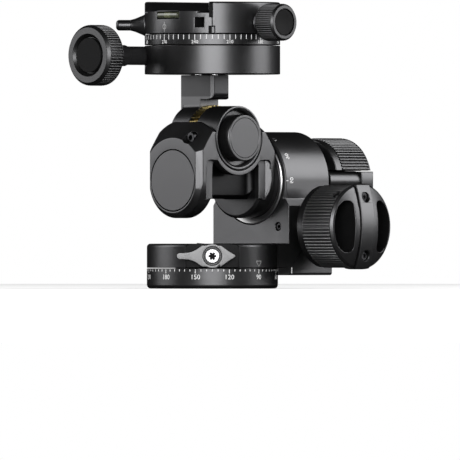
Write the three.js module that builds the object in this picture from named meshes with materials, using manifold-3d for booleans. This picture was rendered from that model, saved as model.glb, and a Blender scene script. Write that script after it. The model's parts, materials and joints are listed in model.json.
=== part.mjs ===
// A geared tripod head: a panning base, a bracket with a worm-driven roll axis, a housing with a
// worm-driven pitch axis, and a panoramic clamp with a dovetail channel on top.
// Millimetres, +Z up. The origin is on the pan axis, on the underside of the base.

import * as THREE from "three";
import { mergeVertices } from "three/addons/utils/BufferGeometryUtils.js";
import Module from "manifold-3d";

const wasm = await Module();
wasm.setup();

// Clearances that the whole head shares
const gap = 0.3; // between two pieces that touch or turn on each other
const overrun = 2; // how far a cutting solid runs past the face that it opens

// Axes
const rollHeight = 49.4; // roll axis, along Y, above the underside
const pitchAboveRoll = 19.5; // pitch axis, along X, above the roll axis
const wormBelowRoll = 21; // roll worm, along X, below the roll axis
const rollWormSetback = 39.05; // roll worm behind the pan axis

// Base
const baseRadius = 30;
const baseHeight = 9.2;
const footChamfer = 1.8;
const spigotShare = 17 / 30; // of the base's radius
const spigotRadius = spigotShare * baseRadius;
const spigotTop = 17.5;
const socketRadius = 7.7;
const socketLength = 15;
const threadRadius = 4.76; // the 3/8 inch tripod thread
const panPlateLip = 3; // how far the plate reaches past the spigot
const panPlateRadius = spigotRadius + panPlateLip;
const panPlateThickness = 2.4;
const plateScrewCount = 3;
const plateScrewCircle = (socketRadius + spigotRadius) / 2;
const plateScrewRadius = 1.4;
const plateScrewHeadRadius = 2.6;
const plateScrewLength = 8;

// Panning bracket
const bracketRingTop = 20.55;
const bracketRingChamfer = 1.6;
const bracketHalfWidth = 24.5;
const plateFront = 24.9; // front face of the upright plate
const bracketBack = 53.2;
const heelUnderside = 6.1;
const heelClearance = 0.4; // between the heel and the base ring that it wraps round
const heelClearRadius = baseRadius + heelClearance;
const blockTop = 38;
const ledgeSlope = 1.5; // rise of the shoulder from the block to the drum, for its width
const drumRadius = 22.4; // round housing of the roll gear
const bracketChamfer = 0.9;
const leverFlatDepth = 2.5; // flat behind the lever, cut into the round of the ring
const leverFlat = baseRadius - leverFlatDepth;
const washerRoom = leverFlat - spigotRadius;
const washerInnerShare = 3 / 7; // of that room, left free inside the washer
const washerOuterShare = 4 / 21; // of that room, left free outside it
const washerInner = spigotRadius + washerInnerShare * washerRoom;
const washerOuter = leverFlat - washerOuterShare * washerRoom;
const washerThickness = 1.2;
const rearHoleRadius = 15.5; // hole behind the gear chamber
const setScrewRadius = 1.6;
const setScrewSide = 17.6; // set screw of the worm bush, beside the pan axis
const setScrewLength = 5.2;

// Pan lock lever
const leverAzimuth = -Math.PI / 4;
const leverHeight = 14.9;
const leverHubRadius = 5.5;
const leverHubThickness = 4;
const leverThickness = 2.8;
const leverLongLength = 16.3;
const leverShortLength = 10.5;
const leverStudRadius = 1.9;
const leverScrewRadius = 3.3;
const leverScrewSocket = 2;
const leverScrewHead = 1.2;

// Worms, which are alike for both axes. Each wheel takes its teeth from its distance to the worm.
const wormTipRadius = 5.5;
const wormRootRadius = 4.2;
const wormThreadHalf = 5.2;
const wormShaftRadius = 3;
const wormStub = 18; // shaft beyond the middle of the worm, away from the knob
const bushRadius = 7.5;
const bushStart = 12;
const endCapRadius = 8;
const endCapThickness = 3;
const rollTipRadius = wormBelowRoll - wormRootRadius - gap;
const rollRootRadius = wormBelowRoll - wormTipRadius - gap;
const pitchTipRadius = pitchAboveRoll - wormRootRadius - gap;
const pitchRootRadius = pitchAboveRoll - wormTipRadius - gap;

// Roll bearing and gear
const spindleRadius = 16.8; // roll housing's rear spigot
const bearingInner = spindleRadius + gap;
const bearingWall = 2.8;
const bearingOuter = bearingInner + bearingWall;
const bearingLength = 8.2;
const wheelSeatRadius = 12.6;
const wheelSeatStart = 34.5;
const wheelSeatEnd = 46.5;
const tailRadius = 8.6;
const tailEnd = 57.2;
const rollTeeth = 50;
const rollWheelWidth = 7;
const nutRadius = 15;
const nutThickness = 3;
const chamberRoom = 1.3; // round the tips of the teeth
const chamberRadius = rollTipRadius + chamberRoom;
const chamberEnd = 50.2;
const rearCapLip = 2.6; // how far the rear cap reaches past its hole
const rearCapRadius = rearHoleRadius + rearCapLip;
const rearCapThickness = 4;

// Roll housing
const housingFront = 25.7;
const wallInner = 15;
const wallEdge = 1.2; // chamfer round the inner edge of each end wall
const housingHalfWidth = 17.2;
const housingTopRadius = 28;
const housingTop = 26.8;
const housingChamfer = 2.5;
const frontHalfWidth = housingHalfWidth - housingChamfer;
const frontTopRadius = 19.4;
const frontBottomInset = 2.1; // lower cone's edge on the front face, inside the housing's round
const frontBottomRadius = housingHalfWidth - frontBottomInset;
const coverMargin = 0.8; // flat left beside the cover
const coverRadius = frontHalfWidth - coverMargin;
const coverThickness = 3;
const barHalfWidth = 11; // bar between the two end walls
const barChamfer = 3.8;
const shoulderBottom = 9.4;
const sideDepth = 2.16; // recess in each side face, below the shoulders
const sideHalfWidth = 21.2;
const sideCorner = 1.4;
const bossRadius = 14.6;
const bossGroove = 0.5;
const bossGrooveDepth = 1;
const bossLip = 2; // ring round the groove
const bossLipLength = 4;
const bossStart = 2.8;
const bossRecessRadius = 12.65;
const bossRecessDepth = 3.2;
const bossBevel = 0.95;
const pitchBushRadius = 8.2;
const capRadius = 10.66;
const capFace = 21;
const capChamfer = 0.4;
const housingScrewSide = 9;
const housingScrewHeight = 19.6;
const housingScrewRadius = 2.4;
const housingScrewLength = 7;

// Pitch arm and wheel
const armOuter = 14.5; // outer face of the arm, on the -X side
const armInner = 2; // face of the arm beside the wheel, on the -X side
const armDrumRadius = 15.1;
const armEdgeChamfer = 1.5;
const armReliefRadius = 13.9;
const armReliefWidth = 2.6;
const columnHalf = 5.9;
const columnChamfer = 1.4; // on the two corners towards +X
const columnFillet = 2; // where the column leaves the drum
const columnInner = 5.9; // the top of the column reaches past the wheel, to +X
const columnTop = 28.8;
const overhangRound = 3; // under the end of that reach
const overhangUnderside = 17.6;
const axleRadius = 6;
const pitchTeeth = 45;
const pitchWheelWidth = 4.2;
const axleScrewRadius = 3.2;
const armScrewRadius = 2.4;
const armScrewHeadRadius = 4;
const armScrewHeadHeight = 2.6;
const armScrewLength = 11;
const armScrewOuterSide = -10.6;
const armScrewInnerSide = 0.6;

// Panoramic clamp, above the arm
const clampRadius = 31;
const clampBaseHeight = 13.4;
const clampFootChamfer = 0.9;
const clampFloor = 4.2;
const collarRadius = 20.2;
const collarBottom = 7.4;
const collarHeight = 4.8;
const clampSpindleRadius = 12;
const scaleRingHeight = 4.8;
const clampBodyTop = 33.45;
const clampTopChamfer = 1;
const channelFloor = 29.1;
const channelFixedSide = -19; // foot of the fixed dovetail wall
const channelJawSide = 20.6; // foot of the jaw's dovetail wall
const dovetailLean = 3.8;
const reliefDepth = 0.8; // grooves in the channel's floor, under both leaning walls
const jawSplit = 21.8;
const jawTop = 33.3;
const jawLipHalf = 19.5; // half the length of the jaw's lip
const jawHeight = 23.8; // axis of the jaw screw
const jawScrewRadius = 2.5;
const jawScrewInner = 6;
const jawKnobBack = 35.3;
const jawKnobFace = 46.7;
const jawKnobRadius = 8.47;
const jawKnobRing = 7.6;
const jawPadRadius = 5.9;
const jawPadDepth = 1.4;
const guidePinRadius = 2;
const guidePinSide = 12;
const guidePinInner = 12;
const guidePinEnd = 26.5;
const levelHalfLength = 6.6;
const levelRadius = 1.4;
const levelCentre = 1.4; // along X
const levelHeight = 27.2;
const levelDepth = 3.2;
const stopHoleStart = 15.4;
const stopHoleWidth = 3.6;
const stopHoleBottom = 21.7;
const stopHoleHeight = 4.3;
const stopHoleDepth = 6;

// Clamp lock knob, along -Y
const lockSide = -21;
const lockHeight = 8.8;
const lockKnobRadius = 13.9;
const lockKnobBack = 49.2;
const lockKnobFace = 59.4;
const lockKnobChamfer = 1.3;
const lockRecessRadius = 9.8;
const lockRecessDepth = 2;
const lockPadRadius = 8;
const lockPadThickness = 1.2;
const lockNeckRadius = 4.84;
const lockNeckEnd = 36;
const lockShaftRadius = 4.26;
const lockShaftEnd = 12.9;
const spotFace = 23.2;
const spotFaceRadius = 6;
const cotterRadius = 4.2;
const cotterHalf = 12.6;

// Index plunger, radial on the turning part of the clamp
const plungerAzimuth = (-3 * Math.PI) / 4;
const plungerHeight = 22.8;
const plungerBossRadius = 4.94;
const plungerRadius = 2.56;
const plungerBossEnd = 37.5;
const plungerEnd = 44.1;
const plungerPinRadius = 1.4;
const plungerPinStart = 23;

// Gear knobs, which are alike for both axes
const knobRadius = 19.7;
const knobCollarRadius = 19.2;
const knobCollar = 3.9;
const knobLength = 22.9; // to the rim of the domed face
const knobDome = 4.1; // rise of the face to its middle
const knobNeckRadius = 14.5;
const knobNeck = 3.2;
const knobChamfer = 1;
const knobBore = 12;
const rollKnobBack = 34.5; // along X
const pitchKnobBack = 61.9; // along Y
const wingHalfWidth = 4.3;
const wingUnderside = 15.9;
const wingEdgeTop = 23.4;
const wingCrown = 27.5;
const wingCorner = 1;
const postRadius = 4.5;
const postCircle = 14;
const slotHalf = 4.85;
const slotInner = 9.2;
const pocketInner = 7.4;
const pocketOuterRadius = 17.9;
const pocketHalf = 11.8;
const pocketFloor = 7;
const knobScrewRadius = 1.9;
const knobScrewHeight = 19.2;
const knobScrewDepth = 3;
const knobScrewAngle = (41 * Math.PI) / 180;
const wingScrewCircle = 13.4;
const wingScrewRadius = 2.3;
const wingScrewDepth = 2.6;

// How finely round forms are cut
const largeRadius = 12;
const mediumRadius = 4.5;
const largeFacets = 36;
const mediumFacets = 18;
const smallFacets = 10;
const shoulderSteps = 4;
const domeSteps = 4;
const filletSteps = 3;
const mergeDistance = 1e-4;

function facetsFor(radius) {
  if (radius >= largeRadius) return largeFacets;
  return radius >= mediumRadius ? mediumFacets : smallFacets;
}

// A closed geometry as a solid that can be joined and cut, with its faces pointing out
function solidOf(geometry) {
  const bare = geometry.index ? geometry.toNonIndexed() : geometry.clone();
  bare.deleteAttribute("normal");
  bare.deleteAttribute("uv");
  const merged = mergeVertices(bare, mergeDistance);
  const faces = [];
  const index = merged.index.array;
  for (let i = 0; i < index.length; i += 3) {
    const [a, b, c] = index.slice(i, i + 3);
    if (a !== b && b !== c && c !== a) faces.push(a, b, c);
  }
  const build = (triangles) =>
    new wasm.Manifold(
      new wasm.Mesh({
        numProp: 3,
        vertProperties: merged.attributes.position.array,
        triVerts: new Uint32Array(triangles),
      }),
    );
  const solid = build(faces);
  return solid.volume() < 0 ? build(faces.toReversed()) : solid;
}

const origin = new THREE.Matrix4();

function placeAt(x, y, z, azimuth = 0) {
  return new THREE.Matrix4().makeRotationZ(azimuth).setPosition(x, y, z);
}

// Turns a form made along Z so that it runs along an axis.
// Along y a plane figure is read as x and z, along x as y and z.
function alongAxis(axis) {
  const x = new THREE.Vector3(1, 0, 0);
  const y = new THREE.Vector3(0, 1, 0);
  const z = new THREE.Vector3(0, 0, 1);
  if (axis === "x") return new THREE.Matrix4().makeBasis(y, z, x);
  if (axis === "y") return new THREE.Matrix4().makeBasis(x, z, y);
  return new THREE.Matrix4();
}

// A profile of radius and place along the axis, turned round that axis
function turned(axis, profile, place = origin) {
  const points = profile.map(([radius, along]) => new THREE.Vector2(radius, along));
  const closed = profile[0][0] === 0 && profile.at(-1)[0] === 0;
  if (!closed) points.push(points[0].clone());
  const widest = Math.max(...profile.map(([radius]) => radius));
  const geometry = new THREE.LatheGeometry(points, facetsFor(widest));
  geometry.rotateX(Math.PI / 2);
  return solidOf(geometry.applyMatrix4(alongAxis(axis)).applyMatrix4(place));
}

function rod(axis, radius, from, to, place = origin) {
  return turned(axis, [[0, from], [radius, from], [radius, to], [0, to]], place);
}

function tube(axis, inner, outer, from, to, place = origin) {
  return turned(axis, [[inner, from], [outer, from], [outer, to], [inner, to]], place);
}

// A plane figure carried along an axis
function prism(axis, outline, from, to, place = origin) {
  const shape = new THREE.Shape(outline.map(([u, v]) => new THREE.Vector2(u, v)));
  const geometry = new THREE.ExtrudeGeometry(shape, { depth: to - from, bevelEnabled: false });
  geometry.translate(0, 0, from);
  return solidOf(geometry.applyMatrix4(alongAxis(axis)).applyMatrix4(place));
}

function block([x0, x1], [y0, y1], [z0, z1], place = origin) {
  const geometry = new THREE.BoxGeometry(x1 - x0, y1 - y0, z1 - z0);
  geometry.translate((x0 + x1) / 2, (y0 + y1) / 2, (z0 + z1) / 2);
  return solidOf(geometry.applyMatrix4(place));
}

function arcPoints(radius, from, to, steps, centre = [0, 0]) {
  const points = [];
  for (let i = 0; i <= steps; i += 1) {
    const angle = from + ((to - from) * i) / steps;
    points.push([centre[0] + radius * Math.cos(angle), centre[1] + radius * Math.sin(angle)]);
  }
  return points;
}

const joined = (...solids) => solids.reduce((all, solid) => all.add(solid));
const cut = (solid, ...tools) => solid.subtract(joined(...tools));

// A gear's outline: straight-flanked teeth, one of them centred on the given angle
const toothRootShare = 0.62; // of the pitch, at the root
const toothTipShare = 0.24; // of the pitch, at the tip
function gear(axis, teeth, root, tip, bore, from, to, firstTooth) {
  const outline = [];
  const step = (2 * Math.PI) / teeth;
  for (let i = 0; i < teeth; i += 1) {
    const middle = firstTooth + i * step;
    const at = (radius, share) => {
      const angle = middle + share * step;
      return [radius * Math.cos(angle), radius * Math.sin(angle)];
    };
    outline.push(at(root, -toothRootShare / 2), at(tip, -toothTipShare / 2));
    outline.push(at(tip, toothTipShare / 2), at(root, toothRootShare / 2));
  }
  const reach = [from - overrun, to + overrun];
  return cut(prism(axis, outline, from, to), rod(axis, bore, ...reach));
}

// A worm along Z: one right-handed thread on a shaft, with a groove facing up at the middle
const threadCrestShare = 0.3; // of the pitch, where the crest is full
const threadGrooveShare = 0.74; // of the pitch, beyond which the groove is full depth
const threadSteps = 4; // rings for each pitch
const threadSides = 10;
function worm(pitch, facing, from, to) {
  const turns = wormThreadHalf / pitch;
  const rings = Math.round(2 * turns * threadSteps);
  const positions = [];
  const point = (radius, angle, z) => [radius * Math.cos(angle), radius * Math.sin(angle), z];
  const radiusAt = (z, angle) => {
    const phase = z / pitch - (angle - facing) / (2 * Math.PI) + 1 / 2;
    const away = 2 * Math.abs(phase - Math.round(phase));
    const span = threadGrooveShare - threadCrestShare;
    const depth = Math.min(Math.max((away - threadCrestShare) / span, 0), 1);
    return wormTipRadius + (wormRootRadius - wormTipRadius) * depth;
  };
  const ring = (k) => {
    const z = wormThreadHalf * ((2 * k) / rings - 1);
    const isEnd = k === 0 || k === rings;
    return Array.from({ length: threadSides }, (_, i) => {
      const angle = (2 * Math.PI * i) / threadSides;
      return point(isEnd ? wormRootRadius : radiusAt(z, angle), angle, z);
    });
  };
  for (let k = 0; k < rings; k += 1) {
    const [low, high] = [ring(k), ring(k + 1)];
    for (let i = 0; i < threadSides; i += 1) {
      const j = (i + 1) % threadSides;
      positions.push(...low[i], ...low[j], ...high[j], ...low[i], ...high[j], ...high[i]);
    }
  }
  const [first, last] = [ring(0), ring(rings)];
  for (let i = 0; i < threadSides; i += 1) {
    const j = (i + 1) % threadSides;
    positions.push(0, 0, -wormThreadHalf, ...first[j], ...first[i]);
    positions.push(0, 0, wormThreadHalf, ...last[i], ...last[j]);
  }
  const geometry = new THREE.BufferGeometry();
  geometry.setAttribute("position", new THREE.Float32BufferAttribute(positions, 3));
  return joined(solidOf(geometry), rod("z", wormShaftRadius, from, to));
}

// Finishes
const finish = (color, roughness, metalness) => () =>
  new THREE.MeshStandardMaterial({ color, roughness, metalness });
const blackAnodised = finish(0x2b2b2d, 0.42, 0.75);
const greyAnodised = finish(0x8f8f91, 0.35, 0.85);
const steel = finish(0xc4c6c8, 0.22, 1);
const brass = finish(0xa58a3c, 0.3, 1);
const polymer = finish(0x1f1f20, 0.6, 0);
const whitePolymer = finish(0xd9d9d4, 0.5, 0);
const vialGreen = finish(0xb8c93a, 0.12, 0);

function piece(name, solid, material) {
  const { numProp, vertProperties, triVerts } = solid.getMesh();
  const positions = [];
  for (const vertex of triVerts) {
    positions.push(...vertProperties.subarray(vertex * numProp, vertex * numProp + 3));
  }
  const geometry = new THREE.BufferGeometry();
  geometry.setAttribute("position", new THREE.Float32BufferAttribute(positions, 3));
  geometry.computeVertexNormals();
  const mesh = new THREE.Mesh(geometry, material());
  mesh.name = name;
  return mesh;
}

function groupAt(x, y, z, ...children) {
  const group = new THREE.Group();
  group.position.set(x, y, z);
  group.add(...children);
  return group;
}

// Base: the fixed ring, its spigot, the tripod socket and the plate that holds the bracket down
const panPlateBottom = spigotTop + gap;
const panPlateTop = panPlateBottom + panPlateThickness;

function makeBase() {
  const bore = socketRadius + gap;
  const body = turned("z", [
    [bore, 0],
    [baseRadius - footChamfer, 0],
    [baseRadius, footChamfer],
    [baseRadius, baseHeight],
    [spigotRadius, baseHeight],
    [spigotRadius, spigotTop],
    [bore, spigotTop],
  ]);
  const spots = Array.from({ length: plateScrewCount }, (_, i) => {
    const angle = Math.PI / 2 + (2 * Math.PI * i) / plateScrewCount;
    return placeAt(plateScrewCircle * Math.cos(angle), plateScrewCircle * Math.sin(angle), 0);
  });
  const screwBottom = panPlateTop - plateScrewLength;
  const headDepth = plateScrewHeadRadius - plateScrewRadius;
  const screw = (spot, room, end) =>
    turned(
      "z",
      [
        [0, screwBottom - room],
        [plateScrewRadius + room, screwBottom - room],
        [plateScrewRadius + room, panPlateTop - headDepth],
        [plateScrewHeadRadius + room, end],
        [0, end],
      ],
      spot,
    );
  const holes = spots.map((spot) => screw(spot, gap, panPlateTop + gap / 2));
  const plate = rod("z", panPlateRadius, panPlateBottom, panPlateTop);
  const group = new THREE.Group();
  group.add(
    piece("base_ring", cut(body, ...holes), blackAnodised),
    piece("tripod_socket", tube("z", threadRadius, socketRadius, 0, socketLength), steel),
    piece("pan_plate", cut(plate, ...holes), blackAnodised),
    ...spots.map((spot, i) => {
      const name = "pan_plate_screw_" + (i + 1);
      return piece(name, screw(spot, 0, panPlateTop - gap / 2), steel);
    }),
  );
  return group;
}

// Panning bracket: ring, heel, upright plate and the round housing of the roll gear
const ringBottom = baseHeight + gap;
const wormHeight = rollHeight - wormBelowRoll;
const rollWormPlace = placeAt(0, rollWormSetback, wormHeight);
const rollPlace = placeAt(0, 0, rollHeight);
const leverPlace = placeAt(0, 0, leverHeight, leverAzimuth);
const endCapInner = -(bracketHalfWidth - endCapThickness);

function bracketOutline() {
  const ledge = blockTop - rollHeight;
  const step = ledgeSlope * (bracketHalfWidth - drumRadius);
  const side = [
    [bracketHalfWidth - bracketChamfer, heelUnderside - rollHeight],
    [bracketHalfWidth, heelUnderside - rollHeight + bracketChamfer],
    [bracketHalfWidth, ledge],
    [drumRadius, ledge + step],
  ];
  const over = arcPoints(drumRadius, 0, Math.PI, largeFacets / 2);
  const mirrored = side.toReversed().map(([x, z]) => [-x, z]);
  return [...side, ...over, ...mirrored];
}

function makeBracket() {
  const pivotBore = spigotRadius + gap;
  const plateBore = panPlateRadius + gap;
  const ring = turned("z", [
    [pivotBore, ringBottom],
    [baseRadius, ringBottom],
    [baseRadius, bracketRingTop - bracketRingChamfer],
    [baseRadius - bracketRingChamfer, bracketRingTop],
    [plateBore, bracketRingTop],
    [plateBore, spigotTop],
    [pivotBore, spigotTop],
  ]);
  const upright = prism("y", bracketOutline(), plateFront, bracketBack, rollPlace);
  const halfWidth = [-bracketHalfWidth, bracketHalfWidth];
  const hornFront = Math.sqrt(heelClearRadius ** 2 - bracketHalfWidth ** 2) / 2;
  const hornLevels = [heelUnderside, bracketRingTop];
  const horns = cut(
    block(halfWidth, [hornFront, plateFront + gap], hornLevels),
    rod("z", baseRadius - bracketRingChamfer - gap, heelUnderside - overrun, bracketRingTop + overrun),
  );
  const bearingSeat = bearingOuter + gap;
  const chamberStart = plateFront + bearingLength + gap;
  const wormBore = wormTipRadius + gap + gap;
  const farSide = bracketHalfWidth + overrun;
  const back = bracketBack + overrun;
  const solid = cut(
    joined(ring, upright, horns),
    rod("z", heelClearRadius, heelUnderside - overrun, ringBottom),
    tube("z", washerInner - gap, washerOuter + gap, baseHeight, ringBottom + washerThickness + gap),
    rod("y", bearingSeat, plateFront - overrun, chamberStart, rollPlace),
    rod("y", chamberRadius, chamberStart - gap, chamberEnd, rollPlace),
    rod("y", rearHoleRadius, chamberEnd - gap, back, rollPlace),
    rod("x", wormBore, -farSide, farSide, rollWormPlace),
    rod("x", endCapRadius + gap, -farSide, endCapInner - gap, rollWormPlace),
    rod("x", bushRadius + gap, bushStart - gap, farSide, rollWormPlace),
    rod(
      "y",
      setScrewRadius + gap,
      plateFront - overrun,
      rollWormSetback - bushRadius,
      placeAt(setScrewSide, 0, wormHeight),
    ),
    block(
      [leverFlat, baseRadius + overrun],
      [-baseRadius, baseRadius],
      [ringBottom - leverHeight - gap, bracketRingTop - leverHeight + overrun],
      leverPlace,
    ),
    rod("x", leverStudRadius + gap, spigotRadius, baseRadius, leverPlace),
  );
  const bearing = tube("y", bearingInner, bearingOuter, 0, bearingLength);
  const capPlug = rearHoleRadius - gap;
  const capFront = bracketBack + gap;
  const capBore = tailRadius + gap;
  const rearCap = turned("y", [
    [capBore, chamberEnd + gap],
    [capPlug, chamberEnd + gap],
    [capPlug, capFront],
    [rearCapRadius, capFront],
    [rearCapRadius, capFront + rearCapThickness - bracketChamfer],
    [rearCapRadius - bracketChamfer, capFront + rearCapThickness],
    [capBore, capFront + rearCapThickness],
  ]);
  const shaftBore = wormShaftRadius + gap;
  const bushEnd = rollKnobBack - knobNeck - gap;
  const bush = tube("x", shaftBore, bushRadius, bushStart, bushEnd);
  const endCap = cut(
    rod("x", endCapRadius, -bracketHalfWidth - gap, endCapInner - gap - gap),
    rod("x", shaftBore, -wormStub - overrun, 0),
  );
  const screwFront = plateFront + gap + gap;
  const setScrew = rod("y", setScrewRadius, screwFront, screwFront + setScrewLength);
  const washerBottom = ringBottom;
  const washer = tube("z", washerInner, washerOuter, washerBottom, washerBottom + washerThickness);
  const group = new THREE.Group();
  group.add(
    piece("bracket", solid, blackAnodised),
    piece("pan_washer", washer, whitePolymer),
    groupAt(0, 0, rollHeight, groupAt(0, plateFront, 0, piece("roll_bearing_ring", bearing, steel))),
    groupAt(0, 0, rollHeight, piece("roll_rear_cap", rearCap, blackAnodised)),
    groupAt(
      0,
      rollWormSetback,
      wormHeight,
      piece("roll_worm_bush", bush, blackAnodised),
      piece("roll_worm_end_cap", endCap, blackAnodised),
    ),
    groupAt(setScrewSide, 0, wormHeight, piece("bush_set_screw", setScrew, steel)),
  );
  return group;
}

// Pan lock lever, with its stud and its screw
const leverOutlineShares = {
  long: [[1, 0], [0.975, 0.16], [0.92, 0.22], [0.64, 0.28], [0.46, 0.5], [0.28, 0.86]],
  short: [[0.38, 0.8], [0.67, 0.45], [0.95, 0.12], [1, 0]],
};

function makeLever() {
  const upper = [
    ...leverOutlineShares.long.map(([l, w]) => [-l * leverLongLength, w * leverHubRadius]),
    ...leverOutlineShares.short.map(([l, w]) => [l * leverShortLength, w * leverHubRadius]),
  ];
  const lower = upper.slice(1, -1).toReversed().map(([y, z]) => [y, -z]);
  const hubBack = leverFlat + gap;
  const hubFront = hubBack + leverHubThickness;
  const armBack = hubBack + (leverHubThickness - leverThickness) / 2;
  const screwSeat = hubFront - leverScrewHead;
  const lever = cut(
    joined(
      turned("x", [
        [0, hubBack],
        [leverHubRadius, hubBack],
        [leverHubRadius, hubFront - bracketChamfer],
        [leverHubRadius - bracketChamfer, hubFront],
        [0, hubFront],
      ]),
      prism("x", [...upper, ...lower], armBack, armBack + leverThickness),
    ),
    rod("x", leverStudRadius + gap, 0, hubFront + overrun),
    rod("x", leverScrewRadius + gap, screwSeat, hubFront + overrun),
  );
  const screw = cut(
    rod("x", leverScrewRadius, screwSeat + gap, hubFront),
    rod("x", leverScrewSocket, hubFront - leverScrewHead / 2, hubFront + overrun),
  );
  const stud = rod("x", leverStudRadius, spigotRadius + gap, screwSeat - gap);
  const group = groupAt(
    0,
    0,
    leverHeight,
    piece("pan_lever", lever, greyAnodised),
    piece("pan_lever_screw", screw, steel),
    piece("pan_lever_stud", stud, steel),
  );
  group.rotation.z = leverAzimuth;
  return group;
}

// Roll housing, in a frame on the roll axis
function housingOutline() {
  const cornerHeight = Math.sqrt(housingTopRadius ** 2 - housingHalfWidth ** 2);
  const topHalf = Math.sqrt(housingTopRadius ** 2 - housingTop ** 2);
  const from = Math.atan2(cornerHeight, housingHalfWidth);
  const to = Math.atan2(housingTop, topHalf);
  const bottom = arcPoints(housingHalfWidth, -Math.PI, 0, largeFacets / 2);
  const right = arcPoints(housingTopRadius, from, to, shoulderSteps);
  return [...bottom, ...right, ...right.toReversed().map(([x, z]) => [-x, z])];
}

// One end wall, which looks along -Y for side -1 and along +Y for side 1
function endWall(side) {
  const from = Math.min(side * wallInner, side * housingFront);
  const to = Math.max(side * wallInner, side * housingFront);
  const wide = housingTopRadius + overrun;
  const cone = (faceRadius) =>
    turned("y", [
      [0, side * housingFront],
      [faceRadius, side * housingFront],
      [wide, side * (housingFront - (wide - faceRadius))],
      [wide, 0],
      [0, 0],
    ]);
  const upper = block([-wide, wide], [-wide, wide], [-gap, wide]);
  const lower = block([-wide, wide], [-wide, wide], [-wide, 0]);
  const plan = prism(
    "z",
    [
      [-housingHalfWidth, 0],
      [-housingHalfWidth, side * (housingFront - housingChamfer)],
      [-frontHalfWidth, side * housingFront],
      [frontHalfWidth, side * housingFront],
      [housingHalfWidth, side * (housingFront - housingChamfer)],
      [housingHalfWidth, 0],
    ],
    -wide,
    wide,
  );
  const faces = joined(
    cone(frontTopRadius).intersect(upper),
    cone(frontBottomRadius).intersect(lower),
  );
  return prism("y", housingOutline(), from, to).intersect(plan).intersect(faces);
}

// Recess in the +X face for side 1 and in the -X face for side -1, between the end walls
function sideRecess(side) {
  const floor = side * (housingHalfWidth - sideDepth);
  const past = housingHalfWidth + overrun;
  const floorHalf = sideHalfWidth - sideDepth;
  const pastHalf = sideHalfWidth + overrun;
  const plan = prism(
    "z",
    [[floor, -floorHalf], [floor, floorHalf], [side * past, pastHalf], [side * past, -pastHalf]],
    -baseRadius,
    shoulderBottom,
  );
  const face = [
    [-pastHalf, -baseRadius],
    [pastHalf, -baseRadius],
    [pastHalf, shoulderBottom - overrun - sideCorner],
    [floorHalf - sideCorner + sideDepth, shoulderBottom],
    [sideCorner - floorHalf - sideDepth, shoulderBottom],
    [-pastHalf, shoulderBottom - overrun - sideCorner],
  ];
  const [from, to] = side > 0 ? [0, baseRadius] : [-baseRadius, 0];
  return plan.intersect(prism("x", face, from, to));
}

// Chamfer round the inner edge of an end wall, below the bar
function wallCone(side, barBottom) {
  const edge = housingHalfWidth - wallEdge;
  const reach = baseRadius - edge;
  const ring = turned("y", [
    [edge, side * wallInner],
    [baseRadius, side * (wallInner + reach)],
    [baseRadius, side * (wallInner - overrun)],
    [edge, side * (wallInner - overrun)],
  ]);
  const wide = [-baseRadius, baseRadius];
  return ring.intersect(block(wide, [-baseRadius, baseRadius], [-baseRadius, -barBottom]));
}

const pitchPlace = placeAt(0, 0, pitchAboveRoll);
const wheelMiddle = (bossStart - armInner) / 2;
const wheelFrom = wheelMiddle - pitchWheelWidth / 2;
const wheelTo = wheelMiddle + pitchWheelWidth / 2;
const recessFloor = housingHalfWidth - bossRecessDepth;

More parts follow.
